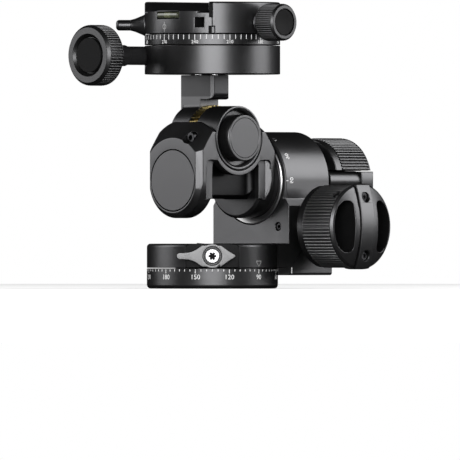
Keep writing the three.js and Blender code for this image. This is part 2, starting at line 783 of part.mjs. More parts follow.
function makeHousing() {
  const rear = cut(
    endWall(1),
    block(
      [-baseRadius, baseRadius],
      [plateFront - gap - gap / 2, plateFront + overrun],
      [-baseRadius, baseRadius],
    ),
  );
  const boss = rod("x", bossRadius, bossStart, housingHalfWidth, pitchPlace);
  const grooveRadius = bossRadius + bossGroove;
  const lipDisc = (end) =>
    rod("x", grooveRadius + bossLip, housingHalfWidth - bossLipLength, end, pitchPlace);
  const lip = lipDisc(housingHalfWidth).intersect(
    block([0, baseRadius], [-baseRadius, baseRadius], [-baseRadius, shoulderBottom + gap]),
  );
  const barBottom = Math.sqrt(housingHalfWidth ** 2 - (housingHalfWidth - sideDepth) ** 2);
  const bar = prism("y", [
    [barHalfWidth - barChamfer, -barBottom],
    [barHalfWidth, barChamfer - barBottom],
    [barHalfWidth, shoulderBottom],
    [-barHalfWidth, shoulderBottom],
    [-barHalfWidth, barChamfer - barBottom],
    [barChamfer - barHalfWidth, -barBottom],
  ], -wallInner - gap, wallInner + gap);
  const cornerHeight = Math.sqrt(housingTopRadius ** 2 - housingHalfWidth ** 2);
  const shoulders = block(
    [bossStart, housingHalfWidth],
    [-wallInner - gap, wallInner + gap],
    [shoulderBottom, cornerHeight],
  );
  const spindle = turned("y", [
    [0, wallInner],
    [spindleRadius, wallInner],
    [spindleRadius, wheelSeatStart],
    [wheelSeatRadius, wheelSeatStart],
    [wheelSeatRadius, wheelSeatEnd],
    [tailRadius, wheelSeatEnd],
    [tailRadius, tailEnd],
    [0, tailEnd],
  ]);
  const worm = wormTipRadius + gap + gap;
  const reach = housingFront + overrun;
  const shoulderHole = housingScrewRadius + gap;
  const screwPlace = placeAt(housingScrewSide, 0, housingScrewHeight);
  const slotted = cut(
    joined(
      endWall(-1),
      rear,
      bar,
      boss,
      lip,
      shoulders,
      spindle,
    ),
    rod("y", worm, -reach, tailEnd + overrun),
    rod("y", coverRadius + gap, -reach, -housingFront + coverThickness + gap),
    sideRecess(1).subtract(lipDisc(baseRadius)),
    sideRecess(-1),
    wallCone(1, barBottom),
    wallCone(-1, barBottom),
    tube("x", bossRadius, grooveRadius, housingHalfWidth - bossGrooveDepth, baseRadius, pitchPlace),
    rod("x", armDrumRadius + gap + gap, -baseRadius, bossStart, pitchPlace),
    rod("x", pitchTipRadius + gap + gap, -armInner, bossStart, pitchPlace),
    rod("x", pitchBushRadius + gap, 0, recessFloor + gap, pitchPlace),
    turned(
      "x",
      [
        [0, recessFloor],
        [bossRecessRadius, recessFloor],
        [bossRecessRadius, housingHalfWidth - bossBevel],
        [bossRecessRadius + bossBevel, housingHalfWidth],
        [bossRecessRadius + bossBevel, housingHalfWidth + overrun],
        [0, housingHalfWidth + overrun],
      ],
      pitchPlace,
    ),
    rod("y", shoulderHole, -reach, -wallInner - gap, screwPlace),
  );
  const cover = turned("y", [
    [0, -housingFront],
    [coverRadius - gap, -housingFront],
    [coverRadius, -housingFront + gap],
    [coverRadius, -housingFront + coverThickness],
    [0, -housingFront + coverThickness],
  ]);
  const wheelBack = rollWormSetback + rollWheelWidth / 2;
  const rollWheel = gear(
    "y",
    rollTeeth,
    rollRootRadius,
    rollTipRadius,
    wheelSeatRadius + gap,
    wheelBack - rollWheelWidth,
    wheelBack,
    -Math.PI / 2,
  );
  const nutFrom = wheelBack + gap;
  const nut = tube("y", wheelSeatRadius + gap, nutRadius, nutFrom, nutFrom + nutThickness);
  const shaftBore = wormShaftRadius + gap;
  const frontBushEnd = -wormThreadHalf - worm;
  const frontBushStart = -housingFront + coverThickness + gap + gap;
  const bushOuter = wormTipRadius + gap;
  const frontBush = tube("y", shaftBore, bushOuter, frontBushStart, frontBushEnd);
  const rearBush = tube("y", shaftBore, bushOuter, wheelSeatEnd, tailEnd);
  const pitchBush = tube("x", axleRadius + gap, pitchBushRadius, bossStart + gap, recessFloor - gap);
  const screwHead = -housingFront + (housingScrewHeight - frontTopRadius) + housingScrewRadius;
  const screw = cut(
    rod("y", housingScrewRadius, screwHead, screwHead + housingScrewLength),
    rod("y", housingScrewRadius / 2, screwHead - overrun, screwHead + housingScrewRadius / 2),
  );
  return [
    piece("roll_housing", slotted, blackAnodised),
    piece("front_cover", cover, blackAnodised),
    piece("roll_wheel", rollWheel, brass),
    piece("roll_wheel_nut", nut, steel),
    piece("pitch_worm_front_bush", frontBush, brass),
    piece("pitch_worm_rear_bush", rearBush, brass),
    groupAt(0, 0, pitchAboveRoll, piece("pitch_bush", pitchBush, brass)),
    groupAt(housingScrewSide, 0, housingScrewHeight, piece("housing_screw", screw, steel)),
  ];
}

// Gear knob in a frame of its own: along +Z, back of the collar at zero, wing along X
const pocketShares = [[0.8, 0], [0.97, 0.16], [1, 0.34], [0.9, 0.62]];

function pocketOutline(side) {
  const depth = pocketOuterRadius - pocketInner;
  const right = pocketShares.map(([l, w]) => [l * pocketHalf, pocketInner + w * depth]);
  const corner = right.at(-1);
  const from = Math.atan2(corner[1], corner[0]);
  const arc = arcPoints(pocketOuterRadius, from, Math.PI - from, mediumFacets / 4);
  const left = right.toReversed().map(([x, y]) => [-x, y]);
  return [...right, ...arc, ...left].map(([x, y]) => [x, side * y]);
}

function wingSolid() {
  const half = knobRadius - gap / 3;
  const rise = wingCrown - wingEdgeTop;
  const crownRadius = (half ** 2 + rise ** 2) / (2 * rise);
  const sweep = Math.asin(half / crownRadius);
  const crownAt = (x) => wingCrown - crownRadius + Math.sqrt(crownRadius ** 2 - x ** 2);
  const crown = arcPoints(
    crownRadius,
    Math.PI / 2 - sweep,
    Math.PI / 2 + sweep,
    mediumFacets / 2,
    [0, wingCrown - crownRadius],
  );
  const shown = crown.filter(([x]) => Math.abs(x) < half - wingCorner);
  const edge = [half, wingEdgeTop - wingCorner];
  const outline = [
    [half, wingUnderside],
    edge,
    [half - wingCorner, crownAt(half - wingCorner)],
    ...shown,
    [wingCorner - half, crownAt(half - wingCorner)],
    [-edge[0], edge[1]],
    [-half, wingUnderside],
  ];
  const bar = prism("y", outline, -wingHalfWidth, wingHalfWidth).intersect(
    rod("z", half, wingUnderside - overrun, wingCrown + overrun),
  );
  const posts = [-1, 1].map((side) =>
    rod("z", postRadius, -knobNeck - gap, wingUnderside + gap, placeAt(side * postCircle, 0, 0)),
  );
  const holes = [-1, 1].map((side) => {
    const floor = crownAt(wingScrewCircle) - wingScrewDepth;
    return rod("z", wingScrewRadius, floor, wingCrown + overrun, placeAt(side * wingScrewCircle, 0, 0));
  });
  return cut(joined(bar, ...posts), ...holes);
}

function knobSolid() {
  const rim = knobRadius - knobChamfer;
  const dome = Array.from({ length: domeSteps }, (_, i) => {
    const share = 1 - (i + 1) / domeSteps;
    return [share * rim, knobLength + knobDome * (1 - share ** 2)];
  });
  const top = knobLength + knobDome + overrun;
  const body = turned("z", [
    [0, -knobNeck],
    [knobNeckRadius, -knobNeck],
    [knobNeckRadius, 0],
    [knobCollarRadius, 0],
    [knobCollarRadius, knobCollar],
    [knobRadius, knobCollar],
    [knobRadius, knobLength - knobChamfer],
    [rim, knobLength],
    ...dome,
  ]);
  const slots = [-1, 1].map((side) => {
    const [near, far] = [side * slotInner, side * (knobRadius + overrun)];
    const across = [Math.min(near, far), Math.max(near, far)];
    return block(across, [-slotHalf, slotHalf], [-knobNeck - overrun, top]);
  });
  const wide = knobRadius + overrun;
  const channelHalf = wingHalfWidth + gap;
  return cut(
    body,
    ...slots,
    block([-wide, wide], [-channelHalf, channelHalf], [wingUnderside - gap, top]),
    prism("z", pocketOutline(1), pocketFloor, top),
    prism("z", pocketOutline(-1), pocketFloor, top),
    rod("z", wormShaftRadius + gap, -knobNeck - overrun, knobBore + gap),
    rod(
      "x",
      knobScrewRadius,
      knobRadius - knobScrewDepth,
      knobRadius + overrun,
      placeAt(0, 0, knobScrewHeight, knobScrewAngle),
    ),
  );
}

// A gear knob with its worm and its wing. The worm's middle lies wormBack behind the collar.
function gearKnob(prefix, teeth, wheelPitchRadius, wormBack, facing) {
  const wormPitch = (2 * Math.PI * wheelPitchRadius) / teeth;
  const shaft = worm(wormPitch, facing, -wormStub, wormBack + knobBore);
  const wormGroup = groupAt(0, 0, -wormBack, piece(prefix + "_worm", shaft, steel));
  const group = new THREE.Group();
  group.add(
    piece(prefix + "_knob", knobSolid(), blackAnodised),
    piece(prefix + "_wing", wingSolid(), blackAnodised),
    wormGroup,
  );
  return group;
}

function facingAlong(group, x, y, z) {
  const basis = new THREE.Matrix4().makeBasis(x, y, z);
  group.quaternion.setFromRotationMatrix(basis);
  return group;
}

function makeRollKnob() {
  const meshRadius = wormBelowRoll - (wormTipRadius + wormRootRadius) / 2;
  const group = gearKnob("roll", rollTeeth, meshRadius, rollKnobBack, 0);
  group.position.set(rollKnobBack, rollWormSetback, wormHeight);
  const x = new THREE.Vector3(0, 0, 1);
  const y = new THREE.Vector3(0, -1, 0);
  const z = new THREE.Vector3(1, 0, 0);
  return facingAlong(group, x, y, z);
}

function makePitchKnob() {
  const meshRadius = pitchAboveRoll - (wormTipRadius + wormRootRadius) / 2;
  const group = gearKnob("pitch", pitchTeeth, meshRadius, pitchKnobBack, -Math.PI / 2);
  group.position.set(0, pitchKnobBack, 0);
  const x = new THREE.Vector3(1, 0, 0);
  const y = new THREE.Vector3(0, 0, -1);
  const z = new THREE.Vector3(0, 1, 0);
  return facingAlong(group, x, y, z);
}

// Pitch arm, in a frame on the pitch axis
// A round drum that passes into a straight column through a fillet on each side
function armOutline(radius, half, top) {
  const reach = half + columnFillet;
  const height = Math.sqrt((radius + columnFillet) ** 2 - reach ** 2);
  const touch = Math.atan2(height, reach);
  const right = arcPoints(columnFillet, Math.PI, Math.PI + touch, filletSteps, [reach, height]);
  const arc = arcPoints(radius, touch, -Math.PI - touch, largeFacets * 3 / 4);
  const left = right.map(([y, z]) => [-y, z]).toReversed();
  return [[half, top], ...right, ...arc.slice(1, -1), ...left, [-half, top]];
}

function makeArm() {
  const outline = armOutline(armDrumRadius, columnHalf, columnTop);
  const chamfered = armOutline(armDrumRadius - armEdgeChamfer, columnHalf, columnTop);
  const chamferFrom = -armOuter + armEdgeChamfer;
  const web = prism("x", outline, chamferFrom, -armInner);
  const outer = prism("x", chamfered, -armOuter, chamferFrom + gap);
  const drumEdge = turned("x", [
    [0, -armOuter],
    [armDrumRadius - armEdgeChamfer, -armOuter],
    [armDrumRadius, chamferFrom],
    [0, chamferFrom],
  ]);
  const columnPlan = [
    [-armOuter, -columnHalf],
    [columnInner - columnChamfer, -columnHalf],
    [columnInner, columnChamfer - columnHalf],
    [columnInner, columnHalf - columnChamfer],
    [columnInner - columnChamfer, columnHalf],
    [-armOuter, columnHalf],
  ];
  const column = prism("z", columnPlan, overhangUnderside, columnTop);
  const roundCentre = [columnInner - overhangRound, overhangUnderside + overhangRound];
  const underside = prism("y", [
    ...arcPoints(overhangRound, -Math.PI / 2, 0, filletSteps, roundCentre),
    [columnInner + overrun, roundCentre[1]],
    [columnInner + overrun, overhangUnderside - overrun],
    [roundCentre[0], overhangUnderside - overrun],
  ], -armOuter, armOuter);
  const relief = cut(
    rod("x", armDrumRadius + overrun, -armInner - armReliefWidth, -armInner + overrun),
    rod("x", armReliefRadius, -armInner - armReliefWidth - overrun, -armInner + overrun + overrun),
    block(
      [-armOuter, armOuter],
      [-armDrumRadius - overrun, armDrumRadius + overrun],
      [-armReliefRadius / 2, armDrumRadius + overrun],
    ),
  );
  const armScrewSides = [armScrewOuterSide, armScrewInnerSide];
  const screwBottom = columnTop + clampFloor - armScrewHeadHeight - armScrewLength;
  const screwBores = armScrewSides.map((x) =>
    rod("z", armScrewRadius + gap, screwBottom - gap, columnTop + overrun, placeAt(x, 0, 0)),
  );
  const aboveDrum = block([-armOuter, 0], [-armOuter, armOuter], [0, columnTop]);
  const arm = cut(
    joined(web, outer.intersect(joined(drumEdge, aboveDrum)), column),
    relief,
    underside,
    rod("x", axleRadius + gap, -armOuter - overrun, overrun),
    ...screwBores,
  );
  const axleEnd = recessFloor + gap;
  const axleStart = -armOuter + armEdgeChamfer;
  const axle = rod("x", axleRadius, axleStart, axleEnd);
  const wheel = gear(
    "x",
    pitchTeeth,
    pitchRootRadius,
    pitchTipRadius,
    axleRadius + gap,
    wheelFrom,
    wheelTo,
    -Math.PI / 2,
  );
  const capBack = axleEnd + gap;
  const cap = turned("x", [
    [0, capBack],
    [capRadius, capBack],
    [capRadius, capFace - capChamfer],
    [capRadius - capChamfer, capFace],
    [0, capFace],
  ]);
  const screwBack = -armOuter + gap;
  const axleScrew = cut(
    rod("x", axleScrewRadius, screwBack, axleStart - gap),
    rod("x", axleScrewRadius / 2, -armOuter - overrun, (screwBack + axleStart - gap) / 2),
  );
  return [
    piece("pitch_arm", arm, blackAnodised),
    piece("pitch_axle", axle, steel),
    piece("pitch_wheel", wheel, brass),
    piece("pitch_cap", cap, greyAnodised),
    piece("pitch_axle_screw", axleScrew, steel),
    ...armScrewSides.map((x, i) => {
      const headBottom = columnTop + gap + clampFloor - armScrewHeadHeight;
      const screw = turned(
        "z",
        [
          [0, screwBottom],
          [armScrewRadius, screwBottom],
          [armScrewRadius, headBottom],
          [armScrewHeadRadius, headBottom],
          [armScrewHeadRadius, headBottom + armScrewHeadHeight],
          [0, headBottom + armScrewHeadHeight],
        ],
        placeAt(x, 0, 0),
      );
      return piece("arm_screw_" + (i + 1), screw, steel);
    }),
  ];
}

// Panoramic clamp, in a frame on top of the arm: the fixed base with its scale ring and its lock
const clampBottom = gap;
const scaleRingFrom = clampBaseHeight + gap;
const clampBodyBottom = scaleRingFrom + scaleRingHeight + gap;
const lockPlace = placeAt(lockSide, 0, lockHeight);

function makeClampBase() {
  const pocket = collarRadius + gap;
  const body = turned("z", [
    [0, clampBottom],
    [clampRadius - clampFootChamfer, clampBottom],
    [clampRadius, clampBottom + clampFootChamfer],
    [clampRadius, clampBaseHeight],
    [pocket, clampBaseHeight],
    [pocket, clampFloor + gap + gap],
    [0, clampFloor + gap + gap],
  ]);
  const headBottom = gap + clampFloor - armScrewHeadHeight;
  const screwHoles = [armScrewOuterSide, armScrewInnerSide].flatMap((x) => [
    rod("z", armScrewRadius + gap, -overrun, clampBaseHeight, placeAt(x, 0, 0)),
    rod("z", armScrewHeadRadius + gap, headBottom - gap, clampBaseHeight, placeAt(x, 0, 0)),
  ]);
  const solid = cut(
    body,
    ...screwHoles,
    rod("y", spotFaceRadius, -clampRadius - overrun, -spotFace, lockPlace),
    rod("y", lockShaftRadius + gap, -clampRadius - overrun, cotterHalf + gap, lockPlace),
  );
  const ringBore = clampSpindleRadius + gap + gap;
  const ring = tube("z", ringBore, clampRadius, scaleRingFrom, scaleRingFrom + scaleRingHeight);
  const cotter = cut(
    rod("y", cotterRadius, -cotterHalf, cotterHalf, lockPlace),
    rod("z", pocket, 0, clampBaseHeight),
    block(
      [lockSide - cotterRadius - overrun, lockSide + cotterRadius + overrun],
      [-cotterHalf - overrun, cotterHalf + overrun],
      [clampBaseHeight - gap, clampBaseHeight + overrun],
    ),
  );
  return [
    piece("clamp_base", solid, blackAnodised),
    piece("clamp_scale_ring", ring, blackAnodised),
    piece("clamp_lock_cotter", cotter, brass),
  ];
}

function makeClampLock() {
  const faceRadius = lockKnobRadius - lockKnobChamfer;
  const recessFloorAt = lockKnobFace - lockRecessDepth;
  const knob = turned("y", [
    [0, -lockKnobBack],
    [lockKnobRadius, -lockKnobBack],
    [lockKnobRadius, -lockKnobFace + lockKnobChamfer],
    [faceRadius, -lockKnobFace],
    [lockRecessRadius, -lockKnobFace],
    [lockPadRadius + gap, -recessFloorAt],
    [0, -recessFloorAt],
  ], lockPlace);
  const padBack = recessFloorAt + gap;
  const pad = turned("y", [
    [0, -padBack],
    [lockPadRadius, -padBack],
    [lockPadRadius - gap, -padBack - lockPadThickness],
    [0, -padBack - lockPadThickness],
  ], lockPlace);
  const screw = turned("y", [
    [0, -lockKnobBack + gap],
    [lockNeckRadius, -lockKnobBack + gap],
    [lockNeckRadius, -lockNeckEnd],
    [lockShaftRadius, -lockNeckEnd],
    [lockShaftRadius, -lockShaftEnd],
    [0, -lockShaftEnd],
  ], lockPlace);
  return [
    piece("clamp_lock_knob", knob, blackAnodised),
    piece("clamp_lock_pad", pad, polymer),
    piece("clamp_lock_screw", screw, steel),
  ];
}

const bossFlareShares = [[0.95, 0.12], [0.74, 0.5]];

// Turning part of the clamp: body, collar, level, guide pins and the index plunger
function makeClampBody() {
  const wide = clampRadius + overrun;
  const body = turned("z", [
    [0, collarBottom],
    [clampSpindleRadius, collarBottom],
    [clampSpindleRadius, clampBodyBottom],
    [clampRadius, clampBodyBottom],
    [clampRadius, clampBodyTop - clampTopChamfer],
    [clampRadius - clampTopChamfer, clampBodyTop],
    [0, clampBodyTop],
  ]);
  const reliefFloor = channelFloor - reliefDepth;
  const fixedReliefEnd = channelFixedSide + dovetailLean + gap;
  const jawReliefStart = channelJawSide - dovetailLean - gap;
  const channel = prism("y", [
    [channelFixedSide, reliefFloor],
    [fixedReliefEnd, reliefFloor],
    [fixedReliefEnd, channelFloor],
    [jawReliefStart, channelFloor],
    [jawReliefStart, reliefFloor],
    [wide, reliefFloor],
    [wide, clampBodyTop + overrun],
    [channelFixedSide + dovetailLean, clampBodyTop + overrun],
    [channelFixedSide + dovetailLean, clampBodyTop],
    [channelFixedSide, channelFloor],
  ], -wide, wide);
  const jawRoom = block([jawSplit, wide], [-wide, wide], [clampBodyBottom - overrun, wide + wide]);
  const jawPlace = placeAt(0, 0, jawHeight);
  const guides = [-1, 1].map((side) =>
    rod(
      "x",
      guidePinRadius + gap,
      guidePinInner - gap,
      jawSplit + overrun,
      placeAt(0, side * guidePinSide, jawHeight),
    ),
  );
  const levelY = -clampRadius + levelDepth / 2;
  const plungerPlace = placeAt(0, 0, plungerHeight, plungerAzimuth);
  const solid = cut(
    body,
    channel,
    jawRoom,
    rod("x", jawScrewRadius + gap, jawScrewInner - gap, jawSplit + overrun, jawPlace),
    ...guides,
    block(
      [levelCentre - levelHalfLength - gap, levelCentre + levelHalfLength + gap],
      [-wide, -clampRadius + levelDepth],
      [levelHeight - levelRadius - gap, levelHeight + levelRadius + gap],
    ),
    block(
      [stopHoleStart, stopHoleStart + stopHoleWidth],
      [-wide, -clampRadius + stopHoleDepth + stopHoleDepth],
      [stopHoleBottom, stopHoleBottom + stopHoleHeight],
    ),
    rod("x", plungerPinRadius + gap, plungerPinStart - gap, wide, plungerPlace),
  );
  const collarFrom = collarBottom;
  const collar = tube(
    "z",
    clampSpindleRadius + gap,
    collarRadius,
    collarFrom,
    collarFrom + collarHeight,
  );
  const level = rod(
    "x",
    levelRadius,
    levelCentre - levelHalfLength,
    levelCentre + levelHalfLength,
    placeAt(0, levelY, levelHeight),
  );
  const bossSpan = plungerBossEnd - clampRadius;
  const bossProfile = [
    [plungerPinRadius + gap, clampRadius + gap],
    [plungerBossRadius, clampRadius + gap],
    ...bossFlareShares.map(([r, l]) => [plungerBossRadius * r, clampRadius + bossSpan * l]),
    [plungerRadius, plungerBossEnd],
    [plungerPinRadius + gap, plungerBossEnd],
  ];
  const pins = [-1, 1].map((side, i) =>
    piece(
      "jaw_guide_pin_" + (i + 1),
      rod("x", guidePinRadius, guidePinInner, guidePinEnd, placeAt(0, side * guidePinSide, jawHeight)),
      steel,
    ),
  );
  return [
    piece("clamp_body", solid, blackAnodised),
    piece("clamp_collar", collar, steel),
    piece("spirit_level", level, vialGreen),
    piece("plunger_boss", turned("x", bossProfile, plungerPlace), blackAnodised),
    ...pins,
  ];
}

function makePlunger() {
  const place = placeAt(0, 0, plungerHeight, plungerAzimuth);
  const head = plungerBossEnd + gap;
  const plunger = turned(
    "x",
    [
      [0, plungerPinStart],
      [plungerPinRadius, plungerPinStart],
      [plungerPinRadius, head],
      [plungerRadius, head],
      [plungerRadius, plungerEnd - plungerRadius / 2],
      [plungerRadius / 2, plungerEnd],
      [0, plungerEnd],
    ],
    place,
  );
  return [piece("index_plunger", plunger, blackAnodised)];
}

// Movable jaw, with its screw and its knob
function makeJaw() {
  const front = jawSplit + gap;
  const wide = clampRadius + overrun;
  const lipFoot = channelFloor + gap;
  const section = prism("y", [
    [front, clampBodyBottom],
    [wide, clampBodyBottom],
    [wide, jawTop],
    [channelJawSide - dovetailLean, jawTop],
    [channelJawSide, lipFoot],
    [front, lipFoot],
  ], -wide, wide);
  const round = turned("z", [
    [0, clampBodyBottom],
    [clampRadius, clampBodyBottom],
    [clampRadius, jawTop - clampTopChamfer],
    [clampRadius - clampTopChamfer, jawTop],
    [0, jawTop],
  ]);
  const holes = [-1, 1].map((side) =>
    rod(
      "x",
      guidePinRadius + gap,
      jawSplit - overrun,
      guidePinEnd + gap,
      placeAt(0, side * guidePinSide, jawHeight),
    ),
  );
  const lipEnds = [-1, 1].map((side) => {
    const [from, to] = side > 0 ? [jawLipHalf, wide] : [-wide, -jawLipHalf];
    return block([0, channelJawSide], [from, to], [channelFloor, clampBodyTop]);
  });
  const place = placeAt(0, 0, jawHeight);
  const bore = rod("x", jawScrewRadius + gap, jawSplit - overrun, wide, place);
  const jaw = cut(section.intersect(round), ...lipEnds, ...holes, bore);
  return [piece("clamp_jaw", jaw, blackAnodised)];
}

function makeJawKnob() {
  const place = placeAt(0, 0, jawHeight);
  const padFloor = jawKnobFace - jawPadDepth;
  const knob = turned("x", [
    [0, jawKnobBack],
    [jawKnobRadius, jawKnobBack],
    [jawKnobRadius, jawKnobFace - (jawKnobRadius - jawKnobRing)],
    [jawKnobRing, jawKnobFace],
    [jawPadRadius + gap, jawKnobFace],
    [jawPadRadius + gap, padFloor],
    [0, padFloor],
  ], place);
  const pad = turned("x", [
    [0, padFloor + gap],
    [jawPadRadius, padFloor + gap],
    [jawPadRadius, jawKnobFace - gap],
    [0, jawKnobFace - gap],
  ], place);
  const flangeRadius = jawScrewRadius * 2;
  const screw = turned("x", [
    [0, jawScrewInner],
    [jawScrewRadius, jawScrewInner],
    [jawScrewRadius, clampRadius + gap],
    [flangeRadius, clampRadius + gap],
    [flangeRadius, jawKnobBack - gap],
    [0, jawKnobBack - gap],
  ], place);
  return [
    piece("jaw_knob", knob, blackAnodised),
    piece("jaw_knob_pad", pad, polymer),
    piece("jaw_screw", screw, steel),
  ];
}

// The whole head
const clamp = groupAt(
  0,
  0,
  columnTop,
  ...makeClampBase(),
  ...makeClampLock(),
  ...makeClampBody(),
  ...makePlunger(),
  ...makeJaw(),
  ...makeJawKnob(),
);
const pitchGroup = groupAt(0, 0, pitchAboveRoll, ...makeArm(), clamp);
const rollGroup = groupAt(0, 0, rollHeight, ...makeHousing(), makePitchKnob(), pitchGroup);

const head = new THREE.Group();
head.name = "geared_tripod_head";
head.add(makeBase(), makeBracket(), makeLever(), makeRollKnob(), rollGroup);

export default head;
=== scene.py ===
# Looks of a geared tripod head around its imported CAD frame.
# Shapes are made in millimetres and scaled to metres when a piece is finished.
import json
import math

import bmesh
import bpy
from mathutils import Matrix, Vector
from mathutils.bvhtree import BVHTree


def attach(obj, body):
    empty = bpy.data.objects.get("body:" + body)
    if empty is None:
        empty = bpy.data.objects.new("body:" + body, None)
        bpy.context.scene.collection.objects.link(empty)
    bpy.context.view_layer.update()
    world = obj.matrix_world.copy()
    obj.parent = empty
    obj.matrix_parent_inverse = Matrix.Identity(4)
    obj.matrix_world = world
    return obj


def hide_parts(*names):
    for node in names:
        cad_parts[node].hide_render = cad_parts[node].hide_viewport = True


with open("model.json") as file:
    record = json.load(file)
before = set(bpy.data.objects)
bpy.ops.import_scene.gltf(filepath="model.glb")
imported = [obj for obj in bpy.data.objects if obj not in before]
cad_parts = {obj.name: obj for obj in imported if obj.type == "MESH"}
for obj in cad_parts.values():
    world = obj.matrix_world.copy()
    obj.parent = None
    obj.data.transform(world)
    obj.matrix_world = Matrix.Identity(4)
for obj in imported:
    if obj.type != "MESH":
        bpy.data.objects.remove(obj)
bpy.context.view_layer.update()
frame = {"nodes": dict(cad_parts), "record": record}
print("frame loaded with", len(frame["nodes"]), "nodes")

mm = 0.001
gap = 0.3  # between neighbouring pieces
overrun = 2  # how far a cutter runs past the face it opens
weld = 1e-4  # points nearer than this are one
head = {
    "rollHeight": 49.4,
    "pitchAboveRoll": 19.5,
    "wormBelowRoll": 21,
    "rollWormSetback": 39.05,
    "columnTop": 28.8,
}
rollZ = head["rollHeight"]
pitchZ = rollZ + head["pitchAboveRoll"]
wormZ = rollZ - head["wormBelowRoll"]
clampZ = pitchZ + head["columnTop"]


# ---- shape helpers
axisTurn = {
    "x": Matrix(((0, 0, 1, 0), (1, 0, 0, 0), (0, 1, 0, 0), (0, 0, 0, 1))),
    "y": Matrix(((1, 0, 0, 0), (0, 0, 1, 0), (0, 1, 0, 0), (0, 0, 0, 1))),
    "z": Matrix(),
}


def placeAt(x, y, z, azimuth=0.0):
    return Matrix.Translation((x, y, z)) @ Matrix.Rotation(azimuth, 4, "Z")


rollPlace = placeAt(0, 0, rollZ)
pitchPlace = placeAt(0, 0, pitchZ)
clampPlace = placeAt(0, 0, clampZ)


def solidFrom(points, faces, place):
    bm = bmesh.new()
    verts = [bm.verts.new(place @ Vector(p)) for p in points]
    for face in faces:
        bm.faces.new([verts[i] for i in face])
    bmesh.ops.remove_doubles(bm, verts=bm.verts, dist=weld)
    bmesh.ops.recalc_face_normals(bm, faces=bm.faces)
    mesh = bpy.data.meshes.new("solid")
    bm.to_mesh(mesh)
    bm.free()
    obj = bpy.data.objects.new("solid", mesh)
    bpy.context.scene.collection.objects.link(obj)
    return obj


def roundSteps(radius):
    # facets of a round form
    return 144 if radius >= 12 else 96 if radius >= 4.5 else 40


def turned(axis, profile, place=Matrix(), steps=None):
    steps = steps or roundSteps(max(p[0] for p in profile))
    points, rings = [], []
    for radius, along in profile:
        count = 1 if radius == 0 else steps
        rings.append(range(len(points), len(points) + count))
        for i in range(count):
            angle = 2 * math.pi * i / steps
            points.append((radius * math.cos(angle), radius * math.sin(angle), along))
    isOpen = profile[0][0] == 0 and profile[-1][0] == 0
    pairs = list(zip(rings, rings[1:])) + ([] if isOpen else [(rings[-1], rings[0])])
    faces = []
    for a, b in pairs:
        for i in range(steps):
            j = (i + 1) % steps
            loop = [a[i % len(a)], a[j % len(a)], b[j % len(b)], b[i % len(b)]]
            face = list(dict.fromkeys(loop))
            if len(face) > 2:
                faces.append(face)
    return solidFrom(points, faces, place @ axisTurn[axis])


def rod(axis, radius, start, end, place=Matrix(), steps=None):
    return turned(axis, [(0, start), (radius, start), (radius, end), (0, end)], place, steps)


def tube(axis, inner, outer, start, end, place=Matrix()):
    return turned(axis, [(inner, start), (outer, start), (outer, end), (inner, end)], place)


def prism(axis, outline, start, end, place=Matrix()):
    count = len(outline)
    points = [(*p[:2], start) for p in outline] + [(*p[:2], end) for p in outline]
    faces = [list(range(count)), list(range(count, 2 * count))]
    for i in range(count):
        j = (i + 1) % count
        faces.append([i, j, count + j, count + i])
    return solidFrom(points, faces, place @ axisTurn[axis])


def block(xs, ys, zs, place=Matrix()):
    outline = [(xs[0], ys[0]), (xs[1], ys[0]), (xs[1], ys[1]), (xs[0], ys[1])]
    return prism("z", outline, zs[0], zs[1], place)


def arcPoints(radius, start, end, steps, centre=(0, 0)):
    angles = [start + (end - start) * i / steps for i in range(steps + 1)]
    return [(centre[0] + radius * math.cos(a), centre[1] + radius * math.sin(a)) for a in angles]


def rounded(points, steps=6):
    # a corner written with a third number is rounded with that radius
    out = []
    for i, p in enumerate(points):
        if len(p) == 2:
            out.append(tuple(p))
            continue
        corner = Vector(p[:2])
        toPrev = (Vector(points[i - 1][:2]) - corner).normalized()
        toNext = (Vector(points[(i + 1) % len(points)][:2]) - corner).normalized()
        half = toPrev.angle(toNext) / 2
        centre = corner + (toPrev + toNext).normalized() * p[2] / math.sin(half)
        first = corner + toPrev * p[2] / math.tan(half) - centre
        last = corner + toNext * p[2] / math.tan(half) - centre
        start = math.atan2(first.y, first.x)
        sweep = math.atan2(first.x * last.y - first.y * last.x, first.dot(last))
        out += arcPoints(p[2], start, start + sweep, steps, centre)
    return out


def baked(obj):
    graph = bpy.context.evaluated_depsgraph_get()
    mesh = bpy.data.meshes.new_from_object(obj.evaluated_get(graph), depsgraph=graph)
    obj.modifiers.clear()
    obj.data = mesh
    return obj


def shaped(base, adds=(), keeps=(), cuts=()):
    tools = [("UNION", o) for o in adds] + [("INTERSECT", o) for o in keeps]
    tools += [("DIFFERENCE", o) for o in cuts]
    for operation, tool in tools:
        step = base.modifiers.new("shape", "BOOLEAN")
        step.operation = operation
        step.solver = "MANIFOLD"
        step.object = tool
    baked(base)
    for _, tool in tools:
        bpy.data.objects.remove(tool)
    return base


def merged(first, *others):
    # separate closed shells kept as one mesh
    bm = bmesh.new()
    for obj in (first, *others):
        bm.from_mesh(obj.data)
    bm.to_mesh(first.data)
    bm.free()
    for obj in others:
        bpy.data.objects.remove(obj)
    return first


def placed(obj, place):
    obj.data.transform(place)
    if place.determinant() < 0:
        obj.data.flip_normals()
    return obj


edgeRules = {
    "weld": 2e-3,  # millimetres, before a bevel
    "bevelFrom": 32,  # degrees between two faces whose edge is broken
    "sharpFrom": 30,  # degrees from which an unbroken edge stays sharp
    "segments": 2,
    "stray": 1.5,  # bevel widths that a corner may lie off the first surface
}


